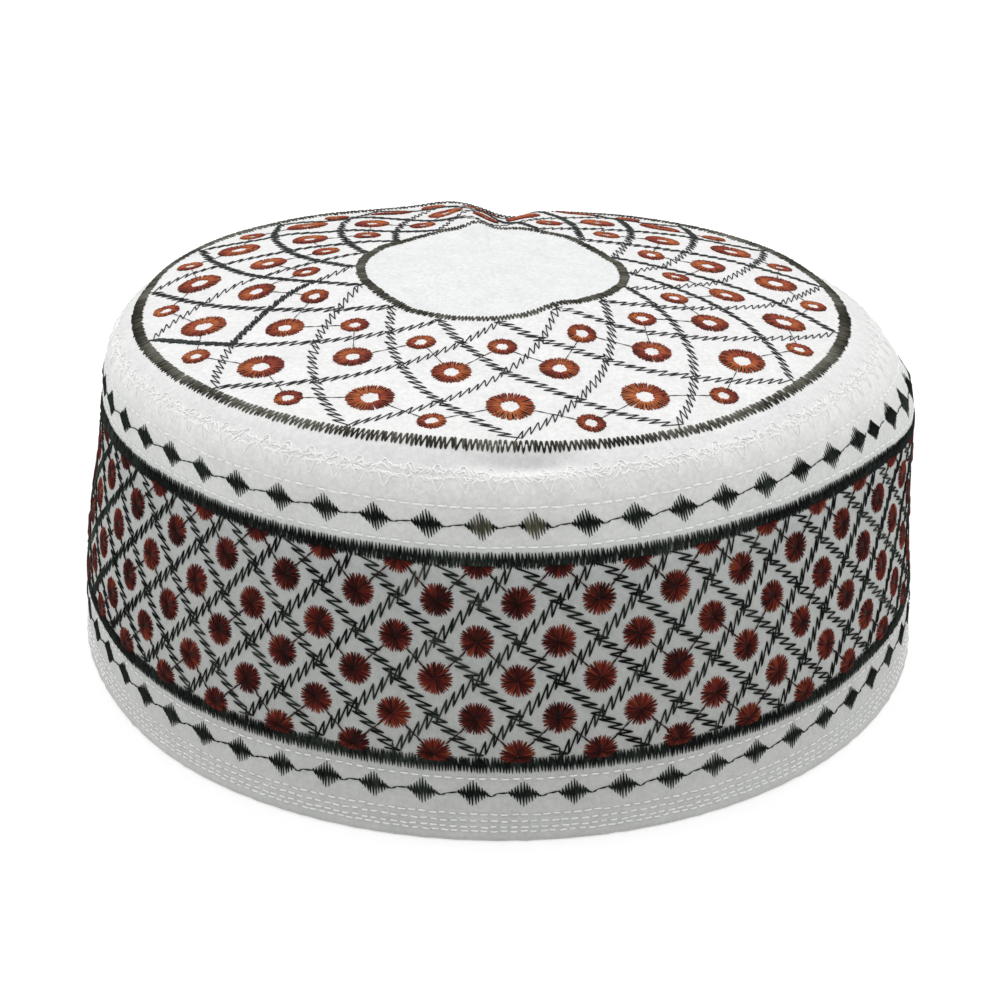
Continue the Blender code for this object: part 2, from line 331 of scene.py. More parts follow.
def on_cloth(cloth, angle, place, lift=0.0):
    """Points on the cloth's face and its normals there, in millimetres."""
    form, relief = cloth
    angle = np.asarray(angle, float)
    place = np.asarray(place, float)
    step = 0.25
    along = form(angle, place + step) - form(angle, place - step)
    around = form(angle + step, place) - form(angle - step, place)
    normal = np.cross(around, along)
    normal /= np.linalg.norm(normal, axis=-1, keepdims=True)
    outward = np.stack([np.cos(np.radians(angle)), np.sin(np.radians(angle)), np.ones_like(angle)], axis=-1)
    normal *= np.sign((normal * outward).sum(axis=-1, keepdims=True))
    return form(angle, place) + normal * (relief(angle, place) + lift)[..., None], normal


def start_tube(name, around, rows):
    """A ring of edges, extruded straight up through all the rows."""
    bpy.ops.object.select_all(action="DESELECT")
    bpy.ops.mesh.primitive_circle_add(vertices=around, radius=HEM_RADIUS * MM, fill_type="NOTHING")
    piece = bpy.context.object
    piece.name = piece.data.name = name
    bpy.ops.object.mode_set(mode="EDIT")
    bpy.ops.mesh.select_all(action="SELECT")
    bpy.ops.transform.translate(value=(0.0, 0.0, rows[0] * MM))
    for low, high in zip(rows, rows[1:]):
        bpy.ops.mesh.extrude_region_move(TRANSFORM_OT_translate={"value": (0.0, 0.0, (high - low) * MM)})
    bpy.ops.object.mode_set(mode="OBJECT")
    return piece


def corner_places(piece):
    """All of a piece's points, as an array in metres."""
    places = np.empty(len(piece.data.vertices) * 3)
    piece.data.vertices.foreach_get("co", places)
    return places.reshape(-1, 3)


def set_corner_places(piece, places):
    """Move a piece's points."""
    piece.data.vertices.foreach_set("co", places.reshape(-1))
    piece.data.update()


def lay_tube(piece, cloth):
    """Lay an extruded tube on the cloth's form: its direction gives the angle and its height the place.

    The place stays with each point as the attribute reach, in metres, for the cloth's tints.
    """
    places = corner_places(piece)
    reach = piece.data.attributes.new("reach", "FLOAT", "POINT")
    reach.data.foreach_set("value", places[:, 2].copy())
    angle = np.degrees(np.arctan2(places[:, 1], places[:, 0])) % 360.0
    points, _ = on_cloth(cloth, angle, places[:, 2] / MM)
    set_corner_places(piece, points * MM)


SHARP_EDGE = 50.0


def edit_all(action, **settings):
    """Run one of Blender's mesh tools on the whole of the active piece."""
    bpy.ops.object.mode_set(mode="EDIT")
    bpy.ops.mesh.select_all(action="SELECT")
    action(**settings)
    bpy.ops.object.mode_set(mode="OBJECT")


def thicken(piece, wall):
    """Point the faces outward and give the cloth its thickness on the inside."""
    edit_all(bpy.ops.mesh.normals_make_consistent, inside=False)
    solidify = piece.modifiers.new("cloth_wall", "SOLIDIFY")
    solidify.thickness = wall * MM
    solidify.offset = -1.0
    bpy.ops.object.modifier_apply(modifier=solidify.name)
    bpy.ops.object.shade_smooth_by_angle(angle=math.radians(SHARP_EDGE))


def feed(tree, node, inputs):
    """Set a node's inputs, each to a plain value or from the output of another node."""
    for key, value in inputs.items():
        if isinstance(value, bpy.types.NodeSocket):
            tree.links.new(value, node.inputs[key])
        else:
            node.inputs[key].default_value = value


def add_node(tree, kind, inputs, **settings):
    """A new shader node with its settings and inputs."""
    node = tree.nodes.new("ShaderNode" + kind)
    for key, value in settings.items():
        setattr(node, key, value)
    feed(tree, node, inputs)
    return node


def calculate(tree, operation, *values):
    """Result of a Math node."""
    return add_node(tree, "Math", dict(enumerate(values)), operation=operation).outputs[0]


def noise(tree, place, scale, detail, roughness=0.5):
    """Value of a noise with the given number of grains in a metre."""
    inputs = {"Vector": place, "Scale": scale, "Detail": detail, "Roughness": roughness}
    return add_node(tree, "TexNoise", inputs).outputs["Fac"]


def stretch(tree, value, low, high, new_low, new_high):
    """A value whose range is stretched or squeezed into a new one."""
    inputs = {"Value": value, "From Min": low, "From Max": high, "To Min": new_low, "To Max": new_high}
    return add_node(tree, "MapRange", inputs).outputs["Result"]


def colour_ramp(tree, share, stops):
    """A colour that runs along the stops, each of them a share of the way and a colour."""
    ramp = add_node(tree, "ValToRGB", {"Fac": share})
    elements = ramp.color_ramp.elements
    for number, (place, colour) in enumerate(stops):
        element = elements[number] if number < 2 else elements.new(place)
        element.position = place
        element.color = (*colour, 1.0)
    return ramp.outputs["Color"]


def bump(tree, height, strength, depth, under=None):
    """Normals of small bumps, on top of those of other bumps."""
    inputs = {"Height": height, "Strength": strength, "Distance": depth}
    if under is not None:
        inputs["Normal"] = under
    return add_node(tree, "Bump", inputs).outputs["Normal"]


# Sizes of the weave, its fibres and crumples in metres, and grains in a metre of their noise
WEAVE_PITCH = 0.00046
WEAVE_THREADS_ROUND = 1270.0
WEAVE_DEPTH = 0.00006
WEAVE_ON_BAND = 0.4
MOTTLE_SCALE = 150.0
MOTTLE_RANGE = (0.32, 0.62)
MOTTLE_DARK = 0.93
FIBRE_SCALE = 1000.0
FIBRE_RANGE = (0.3, 0.7)
FIBRE_CONTRAST = 0.09
FIBRE_STRENGTH = 0.35
FIBRE_DEPTH = 0.00015
CRUMPLE_SCALE = 75.0
CRUMPLE_STRENGTH = 0.45
CRUMPLE_DEPTH = 0.0006
COTTON_ROUGHNESS = 0.85
COTTON_SHEEN = 0.15


def cotton_material(name, tints, round_the_cap, weave_strength):
    """White plain-weave cotton: a checker of small bumps, soft crumples, and a faint mottling of its tint.

    tints are colours along the cloth, up the band or out from the middle of the crown; besides its own tint
    they paint light and shade on it.
    """
    material, tree, shader = new_material(name, tints[0][1], COTTON_ROUGHNESS, COTTON_SHEEN)
    place = add_node(tree, "TexCoord", {}).outputs["Object"]
    x, y, z = add_node(tree, "SeparateXYZ", {0: place}).outputs
    if round_the_cap:
        warp = calculate(tree, "MULTIPLY", calculate(tree, "ARCTAN2", y, x), WEAVE_THREADS_ROUND)
        weft = calculate(tree, "MULTIPLY", z, math.tau / WEAVE_PITCH)
    else:
        warp = calculate(tree, "MULTIPLY", x, math.tau / WEAVE_PITCH)
        weft = calculate(tree, "MULTIPLY", y, math.tau / WEAVE_PITCH)
    checker = calculate(tree, "MULTIPLY", calculate(tree, "SINE", warp), calculate(tree, "SINE", weft))
    fibres = noise(tree, place, FIBRE_SCALE, 3.0, 0.7)
    cloudy = stretch(tree, noise(tree, place, MOTTLE_SCALE, 7.0, 0.68), *MOTTLE_RANGE, MOTTLE_DARK, 1.0)
    speckle = stretch(tree, fibres, *FIBRE_RANGE, 1.0 - FIBRE_CONTRAST, 1.0 + FIBRE_CONTRAST)
    reach = add_node(tree, "Attribute", {}, attribute_name="reach").outputs["Fac"]
    span = tints[-1][0]
    stops = [(reached / span, colour) for reached, colour in tints]
    # The ramp of tints, with the painted light and shade in it
    painted_shading_tint = colour_ramp(tree, calculate(tree, "DIVIDE", reach, span), stops)
    inputs = {0: painted_shading_tint, "Scale": calculate(tree, "MULTIPLY", cloudy, speckle)}
    tinted = add_node(tree, "VectorMath", inputs, operation="SCALE").outputs["Vector"]
    crumples = bump(tree, noise(tree, place, CRUMPLE_SCALE, 3.0), CRUMPLE_STRENGTH, CRUMPLE_DEPTH)
    rough = bump(tree, fibres, FIBRE_STRENGTH, FIBRE_DEPTH, crumples)
    woven = bump(tree, checker, weave_strength, WEAVE_DEPTH, rough)
    feed(tree, shader, {"Base Color": tinted, "Normal": woven})
    return material


def finish_piece(piece, material, slot, *nodes):
    """Give a piece its material, let it ride on the cap and stand for CAD nodes. The slot is not used."""
    piece.data.materials.clear()
    piece.data.materials.append(material)
    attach(piece, "root")
    if nodes:
        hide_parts(*nodes)


# These tints paint light and shade on the band: the cloth is darkened at the hem's foot and on the panel, and
# lightened up the shoulder to the seam, as the light from above falls.
BAND_TINTS_WITH_PAINTED_SHADING = (
    # height in metres, colour
    (0.0, (0.48, 0.49, 0.47)),
    (0.0014, (0.62, 0.63, 0.61)),
    (0.013, (0.60, 0.61, 0.59)),
    (0.018, (0.495, 0.505, 0.485)),
    (0.057, (0.495, 0.515, 0.50)),
    (0.063, (0.75, 0.765, 0.745)),
    (0.069, (0.79, 0.80, 0.78)),
    (0.073, (0.87, 0.88, 0.86)),
    (0.0755, (0.95, 0.955, 0.94)),
    (0.08, (0.96, 0.965, 0.95)),
)
BAND_AROUND = 288


def rows_between(low, high, step):
    """Even rows from low up to, but not with, high."""
    return list(np.arange(low, high - step / 2.0, step))


# The rows of the mesh are close where the cloth is stitched or puckered, and wide apart on the panel
BAND_ROWS = (
    # from, to, step
    (0.9, 7.5, 0.3),
    (7.5, 13.5, 1.2),
    (13.5, 15.5, 0.4),
    (15.5, 62.5, 1.88),
    (62.5, 64.4, 0.38),
    (64.4, 70.3, 0.98),
    (70.3, 72.3, 0.4),
    (72.3, SEAM_HEIGHT, 0.47),
)
band_rows = [0.0, 0.25, 0.55]
for low, high, step in BAND_ROWS:
    band_rows += rows_between(low, high, step)
band_rows += [SEAM_HEIGHT]
side_band = start_tube("side_band_cloth", BAND_AROUND, band_rows)
lay_tube(side_band, BAND_CLOTH)
thicken(side_band, BAND_WALL)
standing = corner_places(side_band)
standing[:, 2] = np.maximum(standing[:, 2], 0.0)
set_corner_places(side_band, standing)
band_cotton_painted_shading = cotton_material("band_cotton_painted_shading", BAND_TINTS_WITH_PAINTED_SHADING, True, WEAVE_ON_BAND)
finish_piece(side_band, band_cotton_painted_shading, "band_cloth", "side_band")

# Crown top.
# The real crown is a round of softer white cotton that domes a little towards its middle, sinks at the back
# and has a few creases where the cap was folded. Its edge is sewn to the band all round.
# It is extruded as the band is, each row standing for a radius, laid on the crown's form and closed on top.
CROWN_WALL = 2.0
CROWN_BORDER_RADIUS = 78.1
CENTRE_BORDER_RADIUS = 29.0
CROWN_TOP_HEIGHT = 87.4
DOME_POWER = 0.85
EDGE_ROLL_POWER = 1.2
WEAVE_ON_CROWN = 0.12
# The dip of these tints on the margin, between the outer border and the seam, is painted shade where the
# crown rolls over to the seam. The tint is lighter again at the seam.
CROWN_TINTS_WITH_PAINTED_SHADE = (
    # distance from the middle in metres, colour
    (0.0, (0.86, 0.875, 0.87)),
    (0.028, (0.86, 0.875, 0.87)),
    (0.031, (0.90, 0.895, 0.895)),
    (0.078, (0.89, 0.89, 0.885)),
    (0.081, (0.83, 0.84, 0.83)),
    (0.0822, (0.82, 0.83, 0.82)),
    (0.0834, (0.93, 0.94, 0.93)),
    (0.086, (0.93, 0.94, 0.93)),
)
CROWN_AROUND = 288
CROWN_WAVES = (
    # waves round the cap, wave length in radius, size, phase
    (3, 90.0, 0.20, 1.1),
    (7, 46.0, 0.16, 3.0),
    (11, 31.0, 0.10, 5.2),
    (19, 22.0, 0.06, 0.6),
)
CROWN_WAVES_BEGIN = (0.0, 30.0)
CROWN_WAVES_END = (76.0, 83.0)
QUILT_RADII = (2.4, 3.6, 4.8, 6.0, 7.2, 8.4, 9.6, 10.8, 12.0)
QUILT_DEPTH = 0.07
QUILT_SPREAD = 0.35
FOLD_LINES = (
    # angle, ends at radius, depth, half width
    (297.5, 29.0, 0.32, 0.5),
    (92.0, 29.0, 0.28, 0.5),
)
FOLD_BEGIN = (0.0, 4.0)
FOLD_FADE = 5.0

# Behind, the outer border stands up in a low ridge, and the cloth sags inside it. On the right the
# embroidery is drawn a little inward. Each is given by its angle, its spread in degrees and its size, and
# by the radii between which it begins. All three are gone between the border and the seam.
BACK_RIDGE = (90.0, 78.0, 0.9)
BACK_RIDGE_FADE = (0.6, 1.0)
BACK_RIDGE_BEGIN = (75.5, 79.4)
BACK_SAG = (90.0, 50.0, 1.2)
BACK_SAG_BEGIN = (60.0, 71.0)
DRAWN_IN = (10.0, 35.0, 0.9)
DRAWN_IN_BEGIN = (40.0, 76.0)
MARGIN = (79.4, 83.5)

# The margin sinks in a small hollow in front: angle, its spread, radius, its spread, depth
FRONT_HOLLOW = (274.5, 6.5, 81.6, 1.9, 2.2)


def crown_form(angle, radius):
    """Upper face of the crown at a nominal radius, from the centre to the seam, in millimetres."""
    drawn_at, drawn_spread, drawn = DRAWN_IN
    across = turn_from(angle, drawn_at) / drawn_spread
    pull = soft_step(*DRAWN_IN_BEGIN, radius) * (1.0 - soft_step(*MARGIN, radius))
    radius = radius - drawn * np.exp(-across * across) * pull
    border = rim_height(angle, 2)
    centre_border = rim_height(angle, 3)
    seam = band_form(angle, np.full_like(angle, SEAM_HEIGHT))
    seam_radius = np.hypot(seam[..., 0] - CROWN_SHIFT_X, seam[..., 1])
    rolled = np.maximum((radius - CROWN_BORDER_RADIUS) / (SEAM_RADIUS - CROWN_BORDER_RADIUS), 0.0)
    raised_border = border + crease_rise(angle, CROWN_BORDER_RADIUS)
    edge_level = raised_border + (seam[..., 2] - raised_border) * rolled ** EDGE_ROLL_POWER
    domed = np.clip((CROWN_BORDER_RADIUS - radius) / (CROWN_BORDER_RADIUS - CENTRE_BORDER_RADIUS), 0.0, 1.0)
    dome_level = border + (centre_border - border) * domed ** DOME_POWER + crease_rise(angle, radius)
    inner = soft_step(0.0, CENTRE_BORDER_RADIUS, CENTRE_BORDER_RADIUS - radius)
    centre_level = centre_border + (CROWN_TOP_HEIGHT - centre_border) * inner + crease_rise(angle, radius)
    outside = radius > CROWN_BORDER_RADIUS
    level = np.where(outside, edge_level, np.where(radius > CENTRE_BORDER_RADIUS, dome_level, centre_level))
    spread = np.where(outside, CROWN_BORDER_RADIUS + rolled * (seam_radius - CROWN_BORDER_RADIUS), radius)
    turn = np.radians(angle)
    return np.stack([CROWN_SHIFT_X + spread * np.cos(turn), spread * np.sin(turn), level], axis=-1)


def crown_relief(angle, radius):
    """Fine height of the crown's cloth over its form: unevenness, quilting grooves and pressed folds."""
    rise = waves(CROWN_WAVES, angle, radius)
    rise = rise * soft_step(*CROWN_WAVES_BEGIN, radius) * (1.0 - soft_step(*CROWN_WAVES_END, radius))
    for ring in QUILT_RADII:
        across = (radius - ring) / QUILT_SPREAD
        rise = rise - QUILT_DEPTH * np.exp(-across * across)
    for line, end, depth, half_width in FOLD_LINES:
        sideways = radius * np.sin(np.radians(turn_from(angle, line))) / half_width
        ahead = np.abs(turn_from(angle, line)) < 90.0
        reach = soft_step(*FOLD_BEGIN, radius) * (1.0 - soft_step(end - FOLD_FADE, end, radius))
        rise = rise - depth * np.exp(-sideways * sideways) * reach * ahead
    behind, reach_aside, ridge = BACK_RIDGE
    aside = np.abs(turn_from(angle, behind)) / reach_aside
    crest = soft_step(*BACK_RIDGE_BEGIN, radius) * (1.0 - soft_step(*MARGIN, radius))
    rise = rise + ridge * (1.0 - soft_step(*BACK_RIDGE_FADE, aside)) * crest
    behind, sag_spread, sag = BACK_SAG
    across = turn_from(angle, behind) / sag_spread
    sagging = soft_step(*BACK_SAG_BEGIN, radius) * (1.0 - soft_step(*MARGIN, radius))
    rise = rise - sag * np.exp(-across * across) * sagging
    front, front_spread, middle, spread, hollow = FRONT_HOLLOW
    across = turn_from(angle, front) / front_spread
    along = (radius - middle) / spread
    rise = rise - hollow * np.exp(-across * across - along * along)
    seam = np.clip(1.0 - (SEAM_RADIUS - radius) / SEAM_ROUNDING, 0.0, 1.0)
    return rise - SEAM_ROUNDING_DEPTH * seam ** 2


CROWN_CLOTH = (crown_form, crown_relief)
crown_rows = rows_between(0.6, 15.0, 0.6) + rows_between(15.0, 27.0, 1.2) + rows_between(27.0, 75.0, 2.0)
crown_rows += rows_between(75.0, SEAM_RADIUS, 0.5) + [SEAM_RADIUS]
first_row_top = float(crown_rows[0] + 0.1) * MM
crown_top = start_tube("crown_top_cloth", CROWN_AROUND, crown_rows)
bpy.ops.object.mode_set(mode="EDIT")
bpy.ops.mesh.select_all(action="DESELECT")
bpy.ops.object.mode_set(mode="OBJECT")
for corner in crown_top.data.vertices:
    corner.select = corner.co.z < first_row_top
for edge in crown_top.data.edges:
    edge.select = all(crown_top.data.vertices[number].select for number in edge.vertices)
bpy.ops.object.mode_set(mode="EDIT")
bpy.ops.mesh.edge_face_add()
bpy.ops.mesh.poke()
bpy.ops.object.mode_set(mode="OBJECT")
flat_places = corner_places(crown_top)
pole = np.hypot(flat_places[:, 0], flat_places[:, 1]) < 1e-6
first_ring = (flat_places[:, 2] < first_row_top) & ~pole
lay_tube(crown_top, CROWN_CLOTH)
laid_places = corner_places(crown_top)
laid_places[pole] = laid_places[first_ring].mean(axis=0)
set_corner_places(crown_top, laid_places)
thicken(crown_top, CROWN_WALL)
crown_cotton_painted_shade = cotton_material("crown_cotton_painted_shade", CROWN_TINTS_WITH_PAINTED_SHADE, False, WEAVE_ON_CROWN)
finish_piece(crown_top, crown_cotton_painted_shade, "crown_cloth", "crown_top")

# Seam between crown and band.
# The two edges of cloth are butted and oversewn with rough layers of short white stitches, and a white zigzag
# with flat points reaches from them onto the crown above and onto the band below.
# One stitch of thread is modelled once, and every sewn piece of the cap is made of copies of it.
SEAM_STITCHES = 760
SEAM_POINTS = 101
SEAM_PHASE = 273.7
SEAM_UP = 1.7
SEAM_DOWN = 2.9
SEAM_TIP = 0.28
SEAM_FOOT = 0.95
SEAM_SHIFT = 0.25
SEAM_THREAD_WIDTH = 0.34
SEAM_ZIGZAG_WIDTH = 0.31
WHITE_THREAD = (0.95, 0.95, 0.94)
WHITE_THREAD_SHADE = (0.86, 0.87, 0.86)
# The white thread glows by itself: painted light that keeps it brighter than the cloth.
WHITE_THREAD_PAINTED_LIGHT = 0.14

# How unevenly the short stitches lie: turn and reach in degrees, slant and wander in millimetres
COVER_TURN = 0.3
COVER_REACH = (0.25, 0.62)
COVER_SLANT = 0.65
COVER_WANDER = 0.3
COVER_BELOW_SEAM = 0.55
COVER_INSIDE_SEAM = 0.6

# How unevenly the points of the zigzags lie: turn in degrees, height in millimetres
POINT_TURN = 0.14
POINT_HEIGHT = 0.22

# How thin the ends of a stitch are and how far they dip into the cloth, as shares of its width
STITCH_END_SIZE = 0.45
STITCH_END_DIP = 0.3


def model_stitch(name, cuts):
    """One stitch of unit length along X: a four-sided thread that rises from the cloth and dips back in."""
    bpy.ops.object.select_all(action="DESELECT")
    bpy.ops.mesh.primitive_cylinder_add(vertices=4, radius=0.5, depth=1.0, end_fill_type="NGON",
                                        location=(0.5, 0.0, 0.0), rotation=(0.0, math.pi / 2.0, 0.0))
    stitch = bpy.context.object
    stitch.name = stitch.data.name = name
    bpy.ops.object.transform_apply(location=True, rotation=True, scale=True)
    for cut in cuts:
        edit_all(bpy.ops.mesh.bisect, plane_co=(cut, 0.0, 0.0), plane_no=(1.0, 0.0, 0.0))
    places = corner_places(stitch)
    ends = np.abs(places[:, 0] - 0.5) > 0.49
    places[ends, 1:] *= STITCH_END_SIZE
    places[ends, 2] -= STITCH_END_DIP
    set_corner_places(stitch, places)
    edit_all(bpy.ops.mesh.normals_make_consistent, inside=False)
    corners = corner_places(stitch)
    faces = [tuple(face.vertices) for face in stitch.data.polygons]
    bpy.data.objects.remove(stitch, do_unlink=True)
    return corners, faces


def at(angle, place):
    """Rows of two numbers: places on the cloth, or the tones of a stitch's two ends."""
    return np.stack([angle, place], axis=1)


long_stitch = model_stitch("long_stitch", (0.14, 0.86))
short_stitch = model_stitch("short_stitch", (0.5,))


def sew(name, stitch, cloth, strokes, width, tone, lift=0.1, proud=1.0):
    """Lay copies of a stitch between pairs of places on the cloth, joined into one piece.

    strokes are two rows of (angle, place): where the stitches start and where they end.
    tone is a number for each stitch, or one for each of its two ends, kept on its points.
    lift is the height over the cloth, the same along a stitch or one for each of its ends.
    proud is how high the thread stands, as a share of its width.
    """
    corners, faces = stitch
    start, end = strokes[:2]
    count = len(start)
    start_lift, end_lift = np.broadcast_to(lift, 2)
    stops, ring = np.unique(np.round(corners[:, 0], 4), return_inverse=True)
    angle = start[:, :1] + turn_from(end[:, :1], start[:, :1]) * stops
    place = start[:, 1:] + (end[:, 1:] - start[:, 1:]) * stops
    middle, up = on_cloth(cloth, angle, place, start_lift + (end_lift - start_lift) * stops)
    run = middle[:, -1] - middle[:, 0]
    length = np.linalg.norm(run, axis=1)
    side = np.cross(up, run[:, None])
    side /= np.linalg.norm(side, axis=-1, keepdims=True)
    across, high = corners[None, :, 1:2], corners[None, :, 2:3]
    points = middle[:, ring] + (across * side[:, ring] + high * proud * up[:, ring]) * width
    data = bpy.data.meshes.new(name)
    sizes = np.array([len(face) for face in faces])
    flat_faces = np.concatenate([np.array(face) for face in faces])
    all_corners = (flat_faces[None] + np.arange(count)[:, None] * len(corners)).reshape(-1)
    all_sizes = np.tile(sizes, count)
    data.vertices.add(count * len(corners))
    data.vertices.foreach_set("co", (points * MM).reshape(-1))
    data.loops.add(len(all_corners))
    data.loops.foreach_set("vertex_index", all_corners.astype(np.int32))
    data.polygons.add(len(all_sizes))
    data.polygons.foreach_set("loop_start", (np.cumsum(all_sizes) - all_sizes).astype(np.int32))
    data.update(calc_edges=True)
    data.validate()
    tone = np.clip(tone, 0.0, 1.0)
    if tone.ndim == 1:
        tone = at(tone, tone)
    point_tones = tone[:, :1] + (tone[:, 1:] - tone[:, :1]) * stops[ring]
    shades = data.attributes.new("tone", "FLOAT", "POINT")
    shades.data.foreach_set("value", point_tones.reshape(-1))
    layout = data.uv_layers.new(name="thread")
    unrolled = np.stack([length[:, None] * corners[None, :, 0],
                         np.broadcast_to(corners[None, :, 1], (count, len(corners)))], axis=-1)
    layout.data.foreach_set("uv", unrolled.reshape(-1, 2)[all_corners].reshape(-1))
    data.shade_smooth()
    piece = bpy.data.objects.new(name, data)
    bpy.context.collection.objects.link(piece)
    return piece


THREAD_ROUGHNESS = 0.6
THREAD_SHINE = 0.08
PLY_SCALE = 1.6
PLY_UNEVENNESS = 0.6
PLY_STRENGTH = 0.5
PLY_DEPTH = 0.00006


def thread_material(name, colours, painted_light_strength=0.0):
    """Twisted embroidery thread: its colour runs along a ramp by each stitch's tone, its plies are a bump.

    painted_light_strength is painted light: the thread glows by itself, so that white thread reads brighter
    than the cloth and the shade on its sides is lifted.
    """
    material, tree, shader = new_material(name, colours[-1], THREAD_ROUGHNESS, 0.0, THREAD_SHINE)
    tone = add_node(tree, "Attribute", {}, attribute_name="tone").outputs["Fac"]
    stops = [(number / (len(colours) - 1), colour) for number, colour in enumerate(colours)]
    shade = colour_ramp(tree, tone, stops)
    layout = add_node(tree, "UVMap", {}, uv_map="thread").outputs["UV"]
    plies = add_node(tree, "TexWave", {"Vector": layout, "Scale": PLY_SCALE, "Distortion": PLY_UNEVENNESS},
                     wave_type="BANDS", bands_direction="DIAGONAL").outputs["Fac"]
    feed(tree, shader, {"Base Color": shade, "Normal": bump(tree, plies, PLY_STRENGTH, PLY_DEPTH)})
    if painted_light_strength:
        feed(tree, shader, {"Emission Color": shade, "Emission Strength": painted_light_strength})
    return material


def uneven(strokes, seed, low=0.0, high=1.0):
    """A random number for each stroke, the same on each run."""
    return np.random.default_rng(seed).uniform(low, high, len(strokes[0]))


def joined(groups):
    """Groups of strokes as one group. What else goes with the strokes, like their tones, is joined too."""
    return [np.concatenate(column) for column in zip(*groups)]


white_thread = thread_material("white_thread", (WHITE_THREAD_SHADE, WHITE_THREAD), WHITE_THREAD_PAINTED_LIGHT)


def seam_cover(place, seed):
    """A rough row of short overlapping stitches along the seam, each at its own slant."""
    generator = np.random.default_rng(seed)
    turn = np.arange(SEAM_STITCHES) * 360.0 / SEAM_STITCHES
    turn = turn + generator.uniform(-COVER_TURN, COVER_TURN, SEAM_STITCHES)
    reach = generator.uniform(*COVER_REACH, SEAM_STITCHES)
    slant = generator.uniform(-COVER_SLANT, COVER_SLANT, SEAM_STITCHES)
    middle = place + generator.uniform(-COVER_WANDER, COVER_WANDER, SEAM_STITCHES)
    return at(turn - reach, middle - slant), at(turn + reach, middle + slant)


def seam_zigzag(foot, peak, tip, shift, seed):
    """Strokes of a zigzag with flat points: up, along the point, and down again."""
    generator = np.random.default_rng(seed)
    turn = SEAM_PHASE + shift + np.arange(SEAM_POINTS) * 360.0 / SEAM_POINTS
    turn = turn + generator.uniform(-POINT_TURN, POINT_TURN, SEAM_POINTS)
    tops = peak + generator.uniform(-POINT_HEIGHT, POINT_HEIGHT, (2, SEAM_POINTS))
    feet = np.full(SEAM_POINTS, foot)
    corners = (at(turn - SEAM_FOOT, feet), at(turn - tip, tops[0]),
               at(turn + tip, tops[1]), at(turn + SEAM_FOOT, feet))
    return np.concatenate(corners[:3]), np.concatenate(corners[1:])


SEAM_LAYERS = (
    # name, cloth, strokes, thread width, seed and range of the tones, lift, how proud, CAD nodes
    ("seam_stitches_on_band", BAND_CLOTH, seam_cover(SEAM_HEIGHT - COVER_BELOW_SEAM, 1),
     SEAM_THREAD_WIDTH, (2, 0.0, 1.0), 0.11, 0.65, ["crown_seam"]),
    ("seam_stitches_on_crown", CROWN_CLOTH, seam_cover(SEAM_RADIUS - COVER_INSIDE_SEAM, 6),
     SEAM_THREAD_WIDTH, (7, 0.0, 1.0), 0.11, 0.65, []),
    ("seam_zigzag_crown", CROWN_CLOTH, seam_zigzag(SEAM_RADIUS, SEAM_RADIUS - SEAM_UP, SEAM_TIP, 0.0, 3),
     SEAM_ZIGZAG_WIDTH, (4, 0.3, 1.0), 0.12, 0.7, []),
    ("seam_zigzag_band", BAND_CLOTH,
     seam_zigzag(SEAM_HEIGHT - 0.2, SEAM_HEIGHT - SEAM_DOWN, SEAM_TIP / 2.0, SEAM_SHIFT, 8),
     SEAM_ZIGZAG_WIDTH, (5, 0.0, 0.8), 0.08, 0.7, []),
)
for name, cloth, strokes, width, tones, lift, proud, nodes in SEAM_LAYERS:
    layer = sew(name, long_stitch, cloth, strokes, width, uneven(strokes, *tones), lift, proud)
    finish_piece(layer, white_thread, "white_thread", *nodes)

# Crown's two satin borders.
# Each is a close zigzag of olive-grey thread, sewn round and round through the crown's cloth.
# The outer one stands a little inside the seam, and the inner one rings the plain middle.
SATIN_LEAN = 0.35
SATIN_TURN = 0.26
SATIN_SHORT = 0.16
SATIN_LONG = 0.22
OUTER_BORDER_WIDTH = 2.6
OUTER_BORDER_ZIG = 0.98
OUTER_BORDER_THREAD = 0.43
OUTER_BORDER_ENDS = (0.2, -0.3)
# How far painted shade darkens the outer border behind
OUTER_BORDER_PAINTED_SHADE = 0.4
CENTRE_BORDER_WIDTH = 2.2
CENTRE_BORDER_ZIG = 0.74
CENTRE_BORDER_THREAD = 0.34
# Tones of the dyed threads: their middle, their slow change round the cap, and their change between strokes
OUTER_DYE = (0.58, 0.4, 0.3)
CENTRE_DYE = (0.5, 0.2, 0.25)
OLIVE_THREAD = ((0.018, 0.018, 0.015), (0.066, 0.061, 0.048), (0.130, 0.128, 0.103), (0.215, 0.215, 0.180))


def satin_zigzag(around, width, middle, zig, lean, seed):
    """Strokes of a close zigzag round the cap: out to its far edge with a lean, and back again.

    A few strokes end a little short of the border's edge or past it.
    """
    generator = np.random.default_rng(seed)
    count = int(round(around / zig))
    pitch = 360.0 / count
    turn = (np.arange(count) + generator.uniform(-SATIN_TURN, SATIN_TURN, count)) * pitch
    low = middle - width / 2.0 + generator.uniform(-SATIN_LONG, SATIN_SHORT, count)
    high = middle + width / 2.0 + generator.uniform(-SATIN_SHORT, SATIN_LONG, count)
    near = at(turn, low)
    far = at(turn + lean * pitch, high)
    return np.concatenate([near, far]), np.concatenate([far, np.roll(near, -1, axis=0)])


def dyed(strokes, seed, middle, slow, quick):
    """Tones of unevenly dyed thread: slow changes round the cap, and a difference from stroke to stroke."""
    generator = np.random.default_rng(seed)
    angle = strokes[0][:, 0]
    tone = middle + generator.uniform(-quick, quick, len(angle))
    for count in (4, 11, 27):
        tone = tone + slow / 2.0 * np.sin(count * np.radians(angle) + generator.uniform(0.0, math.tau))
    return np.clip(tone, 0.0, 1.0)


olive_thread = thread_material("olive_thread", OLIVE_THREAD)
outer_zigzag = satin_zigzag(math.tau * CROWN_BORDER_RADIUS, OUTER_BORDER_WIDTH, CROWN_BORDER_RADIUS,
                            OUTER_BORDER_ZIG, SATIN_LEAN, 11)
outer_tone = dyed(outer_zigzag, 14, *OUTER_DYE)
